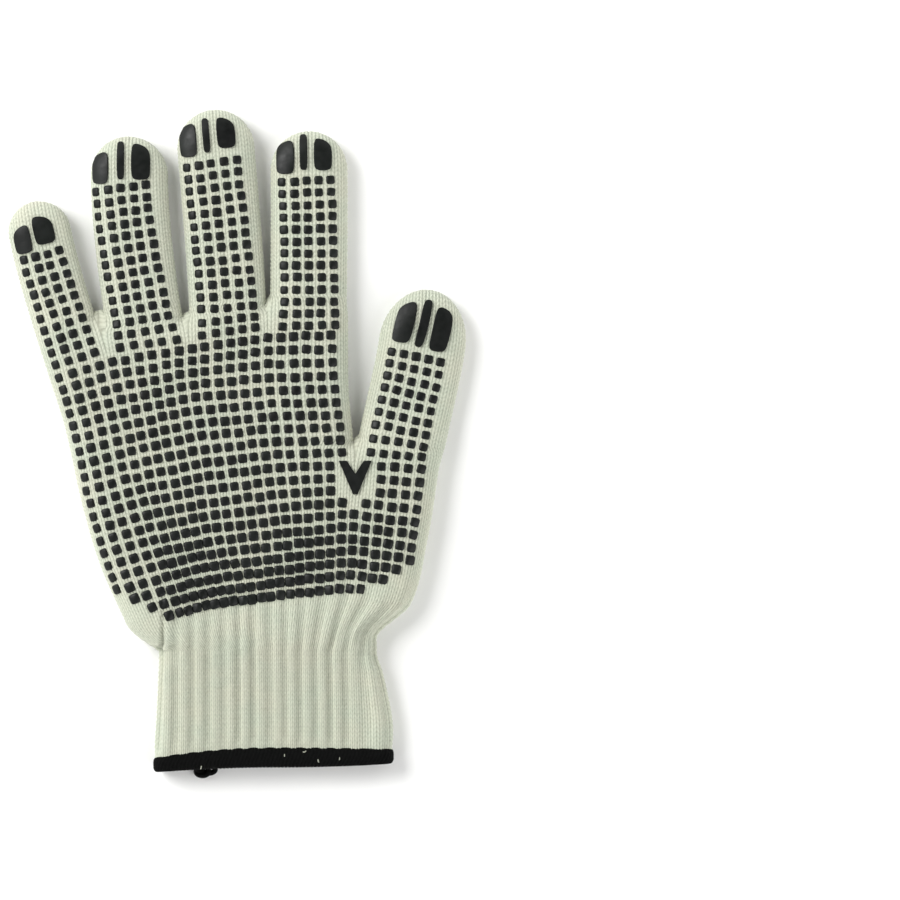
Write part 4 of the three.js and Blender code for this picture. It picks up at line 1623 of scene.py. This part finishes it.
@dataclass(frozen=True)
class PadSet:
    """Soft plastic pads printed near the fingertips and in the thumb's fork. Sizes are in millimetres, and
    what shapes a fingertip's pads in shares of the half width."""

    height: float = 0.78
    sunk: float = 0.35
    rim: float = 0.55
    step: float = 0.34
    margin: float = 0.7
    rim_steps: tuple[float, ...] = (0.0, 0.06, 0.2, 0.5)
    fewest_steps: int = 4
    soft: float = 0.16
    soft_power: int = 3
    pads: tuple[Pad, ...] = (
        Pad("little_pad_a", LITTLE, (-0.83, -0.3), (0.66, 1.56)),
        Pad("little_pad_b", LITTLE, (-0.19, 0.47), (0.48, 1.42)),
        Pad("ring_pad_a", RING, (-0.93, -0.54), (0.36, 1.22)),
        Pad("ring_bar", RING, (-0.32, -0.12), (0.16, 1.12)),
        Pad("ring_pad_b", RING, (0.05, 0.55), (0.15, 1.14)),
        Pad("middle_pad_a", MIDDLE, (-0.9, -0.48), (0.27, 1.18)),
        Pad("middle_bar", MIDDLE, (-0.32, -0.13), (0.22, 1.1)),
        Pad("middle_pad_b", MIDDLE, (0.05, 0.53), (0.18, 1.02)),
        Pad("index_pad_a", INDEX, (-0.83, -0.38), (0.2, 1.12)),
        Pad("index_bar", INDEX, (-0.24, -0.03), (0.1, 1.02)),
        Pad("index_pad_b", INDEX, (0.13, 0.6), (0.16, 1.03)),
        Pad("thumb_pad_a", THUMB, (-0.67, -0.23), (0.25, 1.3), 0.12),
        Pad("thumb_bar", THUMB, (-0.125, 0.1), (0.24, 1.34), 0.14),
        Pad("thumb_pad_b", THUMB, (0.2, 0.63), (0.34, 1.38), 0.12),
    )
    dome_rise: float = 0.36
    dome_reach: float = 0.97
    slant_from: float = 0.8
    wedge_half: float = 6.0
    wedge_horn: float = 1.7
    wedge_notch: float = -3.0
    wedge_point: float = -10.4
    wedge_blunt: float = 0.14
    wedge_shift: float = 0.3

    def raised(self, name: str, base: Floats, material: bpy.types.Material) -> None:
        """Raises a pad over a grid of points on the cloth, with its rim rounded down into the knit.

        Args:
            name: The pad's node.
            base: Points on the cloth in rows and columns.
            material: The pad's finish.
        """
        rows, columns = base.shape[:2]
        wide = np.linalg.norm(np.diff(base[rows // 2], axis=0), axis=1).sum()
        long = np.linalg.norm(np.diff(base[:, columns // 2], axis=0), axis=1).sum()
        s, t = np.linspace(0, 1, columns), np.linspace(0, 1, rows)
        inside = np.minimum(np.minimum(s, 1 - s)[None, :] * wide, np.minimum(t, 1 - t)[:, None] * long)
        lift = -self.sunk + (self.height + self.sunk) * round_off(inside, self.rim)
        normal = np.cross(np.gradient(base, axis=1), np.gradient(base, axis=0))
        normal /= np.linalg.norm(normal, axis=-1, keepdims=True)
        points = base + normal * lift[..., None]
        piece = ClothPiece(name, [Patch(with_stitches(points, s[None, :] * wide, t[:, None] * long))])
        made = make_mesh(f"{name}_grip", piece.points, piece.quads, piece.stitches)
        put_on(made, Slot.GRIP, material, name)

    def steps(self, size: float) -> Floats:
        """Shares from 0 to 1, close together at the rims.

        Args:
            size: Length in millimetres that they divide.

        Returns:
            The shares.
        """
        inner = np.linspace(0, 1, max(self.fewest_steps, round(size / self.step)))
        rim = self.rim / size * np.array(self.rim_steps)
        return np.unique(np.concatenate([rim, 1 - rim, inner[(inner > rim[-1]) & (inner < 1 - rim[-1])]]))

    def dome_drop(self, pad: Pad, across: Floats) -> Floats:
        """Step back of a pad's far end, so that a fingertip's pads end along one dome.

        Args:
            pad: The pad.
            across: Places across it.

        Returns:
            The step in half widths.
        """
        group = [other.across for other in self.pads if other.digit is pad.digit]
        left, right = min(a for a, _ in group), max(b for _, b in group)
        share = (2 * across - left - right) / (right - left)
        return self.dome_rise * (1 - np.sqrt(1 - (self.dome_reach * share) ** 2))

    def tip_pad(self, pad: Pad, material: bpy.types.Material) -> None:
        """Makes one pad near a fingertip.

        Args:
            pad: The pad.
            material: Its finish.
        """
        digit, half = pad.digit, pad.digit.half(HAND)
        wide, long = half * (pad.across[1] - pad.across[0]), half * (pad.from_tip[1] - pad.from_tip[0])
        a, b = self.steps(wide)[None, :], self.steps(long)[:, None]
        soft = 1 - self.soft * (4 * np.abs(a - 0.5) * np.abs(b - 0.5)) ** self.soft_power
        across = mix(pad.across[0], pad.across[1], 0.5 + (a - 0.5) * soft)
        far = pad.from_tip[0] + self.dome_drop(pad, across)
        from_tip = mix(pad.from_tip[1], far, 0.5 + (b - 0.5) * soft)
        along = digit.reach(HAND) - half * from_tip
        reach = digit.half_at(HAND, along)
        off = half * (across - pad.slant * (from_tip - self.slant_from))
        kept = np.clip(off, self.margin - reach, reach - self.margin)
        self.raised(pad.name, digit.cloth(HAND, kept / reach, along).on(Face.PALM_SIDE), material)

    def wedge(self, material: bpy.types.Material) -> None:
        """Makes the notched wedge in the thumb's fork.

        Args:
            material: Its finish.
        """
        fx, fy = HAND.line(Line.INDEX, HAND.fork)
        a = mix(-1.0, 1.0, self.steps(2 * self.wedge_half))[None, :]
        b = self.steps(-self.wedge_point)[:, None]
        x = a * self.wedge_half * mix(self.wedge_blunt, 1.0, b)
        y = mix(self.wedge_point, mix(self.wedge_notch, self.wedge_horn, clamp(2 * np.abs(a))), b)
        depth = HAND.depth(HAND.fork + np.minimum(0, y))
        top, _ = HAND.faces(depth, [np.hypot(x, HAND.web(Line.INDEX, y))], 0.0)
        base = np.stack(np.broadcast_arrays(fx + self.wedge_shift + x, fy + y, top), -1)
        self.raised("crotch_pad", base, material)

    def build(self, material: bpy.types.Material) -> None:
        """Makes every pad.

        Args:
            material: Its finish.
        """
        for pad in self.pads:
            self.tip_pad(pad, material)
        self.wedge(material)


@dataclass(frozen=True)
class Flecks:
    """Short ends of the light cuff yarn caught in the black hem: their places below the wrist and how far
    each is turned."""

    places: tuple[tuple[float, float, float], ...] = (
        (-24.9, -42.4, 1.3),
        (5.1, -37.9, 1.6),
        (12.3, -36.6, 0.3),
        (17.3, -40.0, 1.9),
        (24.9, -39.1, 1.4),
    )
    length: float = 1.1
    yarn: float = 0.17
    lift: float = 0.78
    bow: float = 0.25
    arch: float = 0.6
    samples: int = 9
    sides: int = 8

    def build(self, material: bpy.types.Material) -> None:
        """Makes each end as a short bowed thread on the hem's face.

        Args:
            material: Its finish.
        """
        for i, (x, y, turn) in enumerate(self.places):
            s = np.linspace(-1, 1, self.samples)
            along = s * self.length / 2
            px, py = x + np.cos(turn) * along, y + np.sin(turn) * along + self.bow * s**2
            top = CUFF.cloth(CUFF.across(px), 1.0).top + self.lift + self.yarn * (self.arch - s**2)
            made = tube(f"hem_yarn_end_{i}", np.stack([px, py, top], -1), self.yarn, self.sides)
            put_on(made, Slot.KNIT, material)


def linear(code: str) -> tuple[float, float, float, float]:
    """A colour for a shader from its sRGB hex code."""
    parts = [int(code[i:i + 2], 16) / 255 for i in (1, 3, 5)]
    return (*[c / 12.92 if c <= 0.04045 else ((c + 0.055) / 1.055) ** 2.4 for c in parts], 1.0)


def noise_scale(grain: float) -> float:
    """Scale of a noise whose grains measure so many millimetres."""
    return 1 / MM / grain / GRAINS_PER_CELL


def add(tree: bpy.types.NodeTree, kind: str, inputs: dict | None = None,
        stops: Sequence[tuple[float, str]] = (), **settings: object) -> bpy.types.Node:
    """Adds a node with its settings and links.

    Args:
        tree: Where it goes.
        kind: The node's type.
        inputs: A value, an output or a node (its first output) for each input's name or place.
        stops: Places from 0 to 1 with their hex colours, for a node that has a colour ramp.
        settings: The node's own properties.

    Returns:
        The node.
    """
    made = tree.nodes.new(kind)
    for name, value in settings.items():
        setattr(made, name, value)
    for name, value in (inputs or {}).items():
        if isinstance(value, bpy.types.Node):
            value = value.outputs[0]
        if isinstance(value, bpy.types.NodeSocket):
            tree.links.new(value, made.inputs[name])
        else:
            made.inputs[name].default_value = value
    for i, (place, code) in enumerate(stops):
        stop = made.color_ramp.elements[i] if i < 2 else made.color_ramp.elements.new(place)
        stop.position, stop.color = place, linear(code)
    return made


def new_material(name: str) -> tuple[bpy.types.Material, bpy.types.NodeTree]:
    """An empty material with its nodes.

    Args:
        name: Its name.

    Returns:
        The material and its node tree.
    """
    made = bpy.data.materials.new(name)
    made.use_nodes = True
    made.node_tree.nodes.clear()
    return made, made.node_tree


@dataclass(frozen=True)
class StringKnitCotton:
    """Unbleached recycled cotton, spun in thick soft yarns of several ends and knitted plain: matt, slightly
    greenish grey, with shade painted darker into the hollows between the loops, stray fibres and ends of
    uneven colour."""

    # Colours by the stitch's height: painted shade in the hollows between the loops and on their sides, the
    # yarn's own colour on their crowns
    gap_painted_shade: str = "#86897a"
    loop: str = "#b2b6a4"
    crown: str = "#c6c9b8"
    beige: str = "#c2c0ac"
    green: str = "#b0bba8"
    roughness: float = 0.92
    sheen: float = 0.22
    fibre_mm: float = 0.55
    shade_mm: float = 4.5
    ply_turns: float = 3.0
    ply_lean: float = 9.0
    ply_height: float = 0.18
    loop_dip: float = 0.5
    fibre_tone: float = 0.5
    fibre_height: float = 0.9
    end_share: float = 0.3
    bump: float = 0.55
    bump_mm: float = 0.35

    def stitch(self, tree: bpy.types.NodeTree) -> tuple[bpy.types.Node, bpy.types.Node]:
        """Height of the loops and the twist of the plies, read from the stitch map.

        Args:
            tree: The material's nodes.

        Returns:
            The height's node and the twist's node.
        """
        place = add(tree, "ShaderNodeUVMap", uv_map="stitches")
        split = add(tree, "ShaderNodeSeparateXYZ", {0: place})
        part = add(tree, "ShaderNodeMath", {0: split}, operation="FRACT")
        centred = add(tree, "ShaderNodeMath", {0: part, 1: 2.0, 2: -1.0}, operation="MULTIPLY_ADD")
        side = add(tree, "ShaderNodeMath", {0: centred}, operation="ABSOLUTE")
        climb = add(tree, "ShaderNodeMath", {0: side, 1: -GAUGE.leg_climb, 2: split.outputs[1]},
                    operation="MULTIPLY_ADD")
        turn = add(tree, "ShaderNodeMath", {0: climb, 1: 2 * math.pi}, operation="MULTIPLY")
        wave = add(tree, "ShaderNodeMath", {0: turn}, operation="COSINE")
        chain = add(tree, "ShaderNodeMath", {0: wave, 1: self.loop_dip / 2, 2: 1 - self.loop_dip / 2},
                    operation="MULTIPLY_ADD")
        leg = add(tree, "ShaderNodeMath", {0: side, 1: 2.0, 2: -1.0}, operation="MULTIPLY_ADD")
        square = add(tree, "ShaderNodeMath", {0: leg, 1: leg}, operation="MULTIPLY")
        arch = add(tree, "ShaderNodeMath", {0: 1.0, 1: square}, operation="SUBTRACT")
        height = add(tree, "ShaderNodeMath", {0: arch, 1: chain}, operation="MULTIPLY")
        lean = add(tree, "ShaderNodeMath", {0: side, 1: self.ply_lean}, operation="MULTIPLY")
        twist = add(tree, "ShaderNodeMath", {0: turn, 1: self.ply_turns, 2: lean}, operation="MULTIPLY_ADD")
        ply = add(tree, "ShaderNodeMath", {0: twist}, operation="SINE")
        return height, ply

    def material(self) -> bpy.types.Material:
        """Builds the material.

        Returns:
            The material.
        """
        made, tree = new_material("recycled_cotton_string_knit")
        height, ply = self.stitch(tree)
        where = add(tree, "ShaderNodeTexCoord")
        fibre = add(tree, "ShaderNodeTexNoise", {"Vector": where.outputs["Object"], "Detail": 3.0,
                                                 "Scale": noise_scale(self.fibre_mm), "Roughness": 0.6})
        cloud = add(tree, "ShaderNodeTexNoise", {"Vector": where.outputs["Object"], "Detail": 2.0,
                                                 "Scale": noise_scale(self.shade_mm)})
        uneven = add(tree, "ShaderNodeMath", {0: fibre, 1: self.fibre_tone, 2: -self.fibre_tone / 2},
                     operation="MULTIPLY_ADD")
        # Painted shade: the stitch's height darkens the colour down into the hollows between the loops, and
        # the fibre noise adds the yarn's own unevenness
        painted_shade_and_grain = add(tree, "ShaderNodeMath", {0: height, 1: uneven}, operation="ADD", use_clamp=True)
        colour = add(tree, "ShaderNodeValToRGB", {"Fac": painted_shade_and_grain},
                     ((0.05, self.gap_painted_shade), (0.42, self.loop), (0.95, self.crown)))
        ends = add(tree, "ShaderNodeValToRGB", {"Fac": cloud}, ((0.35, self.green), (0.65, self.beige)))
        mixed = add(tree, "ShaderNodeMix", {"Factor": self.end_share, 6: colour, 7: ends}, data_type="RGBA")
        raised = add(tree, "ShaderNodeMath", {0: ply, 1: self.ply_height, 2: height},
                     operation="MULTIPLY_ADD")
        rough = add(tree, "ShaderNodeMath", {0: fibre, 1: self.fibre_height, 2: raised},
                    operation="MULTIPLY_ADD")
        bump = add(tree, "ShaderNodeBump", {"Height": rough, "Strength": self.bump,
                                            "Distance": self.bump_mm * MM})
        shader = add(tree, "ShaderNodeBsdfPrincipled", {
            "Base Color": mixed.outputs[2], "Roughness": self.roughness, "Normal": bump,
            "Specular IOR Level": 0.25, "Sheen Weight": self.sheen, "Sheen Roughness": 0.6,
        })
        add(tree, "ShaderNodeOutputMaterial", {"Surface": shader})
        return made


@dataclass(frozen=True)
class OverlockThread:
    """Black textured polyester thread of an overlock seam, wound over the edge turn by turn: dull, with fine
    slanting plies that catch a little light, painted a little lighter on their crowns and darker between
    them."""

    # deep is the painted shade between the plies, face the plies' crowns painted a little lighter
    deep: str = "#010101"
    face: str = "#080908"
    roughness: float = 0.75
    gloss: float = 0.08
    ply_mm: float = 0.42
    slant: float = 0.5
    ply_painted_shade: float = 0.25
    fuzz_scale: float = 900.0
    fuzz_height: float = 1.2
    bump: float = 0.5
    bump_mm: float = 0.18

    def material(self) -> bpy.types.Material:
        """Builds the material. The plies are drawn coarser than real ones, which would fall between pixels.

        Returns:
            The material.
        """
        made, tree = new_material("black_overlock_polyester")
        place = add(tree, "ShaderNodeUVMap", uv_map="stitches")
        split = add(tree, "ShaderNodeSeparateXYZ", {0: place})
        lean = add(tree, "ShaderNodeMath", {0: split.outputs[1], 1: self.slant, 2: split},
                   operation="MULTIPLY_ADD")
        turn = add(tree, "ShaderNodeMath", {0: lean, 1: 2 * math.pi / self.ply_mm}, operation="MULTIPLY")
        ply = add(tree, "ShaderNodeMath", {0: turn}, operation="SINE")
        where = add(tree, "ShaderNodeTexCoord")
        fuzz = add(tree, "ShaderNodeTexNoise", {"Vector": where.outputs["Object"], "Scale": self.fuzz_scale,
                                                "Detail": 4.0})
        # Painted highlight and shade: the plies' crowns are coloured a little lighter and the grooves between
        # them darker, with the fuzz noise's own unevenness
        painted_shade_and_grain = add(tree, "ShaderNodeMath", {0: ply, 1: self.ply_painted_shade, 2: fuzz}, operation="MULTIPLY_ADD",
                   use_clamp=True)
        colour = add(tree, "ShaderNodeValToRGB", {"Fac": painted_shade_and_grain}, ((0.25, self.deep), (0.85, self.face)))
        high = add(tree, "ShaderNodeMath", {0: fuzz, 1: self.fuzz_height, 2: ply}, operation="MULTIPLY_ADD")
        bump = add(tree, "ShaderNodeBump", {"Height": high, "Strength": self.bump,
                                            "Distance": self.bump_mm * MM})
        shader = add(tree, "ShaderNodeBsdfPrincipled", {
            "Base Color": colour, "Roughness": self.roughness, "Normal": bump,
            "Specular IOR Level": self.gloss,
        })
        add(tree, "ShaderNodeOutputMaterial", {"Surface": shader})
        return made


@dataclass(frozen=True)
class PrintedPlastic:
    """Black soft plastic, printed as a paste and baked on the knit: satin, a little greenish, with the weave
    faintly telegraphed and its shine uneven from dust and handling."""

    deep: str = "#060807"
    face: str = "#101411"
    roughness: tuple[float, float] = (0.36, 0.55)
    ior: float = 1.5
    gloss: float = 0.22
    grain_mm: float = 0.7
    blotch_mm: float = 5.0
    bump: float = 0.3
    bump_mm: float = 0.2

    def material(self) -> bpy.types.Material:
        """Builds the material.

        Returns:
            The material.
        """
        made, tree = new_material("black_printed_soft_plastic")
        where = add(tree, "ShaderNodeTexCoord")
        grain = add(tree, "ShaderNodeTexNoise", {"Vector": where.outputs["Object"], "Detail": 3.0,
                                                 "Scale": noise_scale(self.grain_mm)})
        blotch = add(tree, "ShaderNodeTexNoise", {"Vector": where.outputs["Object"], "Detail": 2.0,
                                                  "Scale": noise_scale(self.blotch_mm)})
        low, high = NOISE_SPAN
        colour = add(tree, "ShaderNodeValToRGB", {"Fac": blotch}, ((low, self.deep), (high, self.face)))
        shine = add(tree, "ShaderNodeMapRange", {"Value": grain, "From Min": low, "From Max": high,
                                                 "To Min": self.roughness[0], "To Max": self.roughness[1]})
        bump = add(tree, "ShaderNodeBump", {"Height": grain, "Strength": self.bump,
                                            "Distance": self.bump_mm * MM})
        shader = add(tree, "ShaderNodeBsdfPrincipled", {
            "Base Color": colour, "Roughness": shine, "IOR": self.ior, "Normal": bump,
            "Specular IOR Level": self.gloss,
        })
        add(tree, "ShaderNodeOutputMaterial", {"Surface": shader})
        return made


@dataclass(frozen=True)
class Lamp:
    """A soft square lamp that faces the part: its place and size in metres and its power in watts."""

    name: str
    place: tuple[float, float, float]
    size: float
    power: float

    def build(self) -> None:
        """Hangs the lamp."""
        made = bpy.data.objects.new(self.name, bpy.data.lights.new(self.name, "AREA"))
        made.data.size, made.data.energy = self.size, self.power
        made.location = self.place
        x, y, z = self.place
        made.rotation_euler = (math.acos(z / math.hypot(x, y, z)), 0.0, math.atan2(y, x) + math.pi / 2)
        bpy.context.scene.collection.objects.link(made)


@dataclass(frozen=True)
class Studio:
    """Pale table, two soft lamps and a camera straight above. The room is bright round the horizon and dim
    overhead, so that black plastic that faces the camera keeps its depth."""

    table: str = "#f4f4f2"
    table_grain: str = "#efefee"
    reach: float = 2.5
    drop: float = 0.0002
    horizon: float = 1.9
    zenith: float = 0.2
    glow_heights: tuple[float, float] = (0.1, 0.8)
    lamps: tuple[Lamp, ...] = (
        Lamp("key_lamp", (-1.4, 0.8, 1.4), 1.3, 52.0),
        Lamp("fill_lamp", (1.3, -0.9, 1.4), 1.6, 20.0),
    )
    view_centre: tuple[float, float] = (0.07669, -0.00217)
    view_width: float = 0.324
    lens: float = 500.0
    sensor: float = 36.0
    focus_height: float = 0.006

    def finish(self) -> bpy.types.Material:
        """Matt white paint of the table, with a faint grain.

        Returns:
            The material.
        """
        made, tree = new_material("matt_white_table_paint")
        where = add(tree, "ShaderNodeTexCoord")
        grain = add(tree, "ShaderNodeTexNoise", {"Vector": where.outputs["Object"], "Scale": 40.0})
        colour = add(tree, "ShaderNodeValToRGB", {"Fac": grain},
                     ((0.2, self.table_grain), (0.8, self.table)))
        shader = add(tree, "ShaderNodeBsdfPrincipled", {"Base Color": colour, "Roughness": 0.9,
                                                        "Specular IOR Level": 0.1})
        add(tree, "ShaderNodeOutputMaterial", {"Surface": shader})
        return made

    def light_room(self, scene: bpy.types.Scene) -> None:
        """Lights the room from round the horizon.

        Args:
            scene: The scene that gets the room.
        """
        scene.world = bpy.data.worlds.new("soft_room")
        scene.world.use_nodes = True
        tree = scene.world.node_tree
        tree.nodes.clear()
        toward = add(tree, "ShaderNodeSeparateXYZ", {0: add(tree, "ShaderNodeTexCoord").outputs["Generated"]})
        low, high = self.glow_heights
        glow = add(tree, "ShaderNodeMapRange",
                   {"Value": toward.outputs["Z"], "From Min": low, "From Max": high,
                    "To Min": self.horizon, "To Max": self.zenith},
                   interpolation_type="SMOOTHSTEP")
        room = add(tree, "ShaderNodeBackground", {"Color": (1.0, 1.0, 1.0, 1.0), "Strength": glow})
        add(tree, "ShaderNodeOutputWorld", {"Surface": room})

    def build(self) -> None:
        """Sets the table, the light and the camera."""
        scene = bpy.context.scene
        r, z = self.reach, -self.drop
        mesh = bpy.data.meshes.new("table")
        mesh.from_pydata([(-r, -r, z), (r, -r, z), (r, r, z), (-r, r, z)], [], [(0, 1, 2, 3)])
        floor = bpy.data.objects.new("table", mesh)
        floor.data.materials.append(self.finish())
        scene.collection.objects.link(floor)
        self.light_room(scene)
        for lamp in self.lamps:
            lamp.build()
        camera = bpy.data.objects.new("view", bpy.data.cameras.new("view"))
        camera.data.lens, camera.data.sensor_width = self.lens, self.sensor
        camera.data.clip_end = 10.0
        camera.location = (*self.view_centre, self.view_width * self.lens / self.sensor + self.focus_height)
        scene.collection.objects.link(camera)
        scene.camera = camera
        scene.view_settings.view_transform = "Standard"


def main() -> None:
    """Builds the glove piece by piece and sets the studio."""
    logging.basicConfig(level=logging.INFO, format="%(message)s")
    knit = StringKnitCotton().material()
    thread = OverlockThread().material()
    plastic = PrintedPlastic().material()
    KnitHand().build(knit)
    HEM.build(thread)
    Knot().build(thread)
    Flecks().build(knit)
    DotField().build(plastic)
    PadSet().build(plastic)
    Studio().build()


if __name__ == "__main__":
    main()
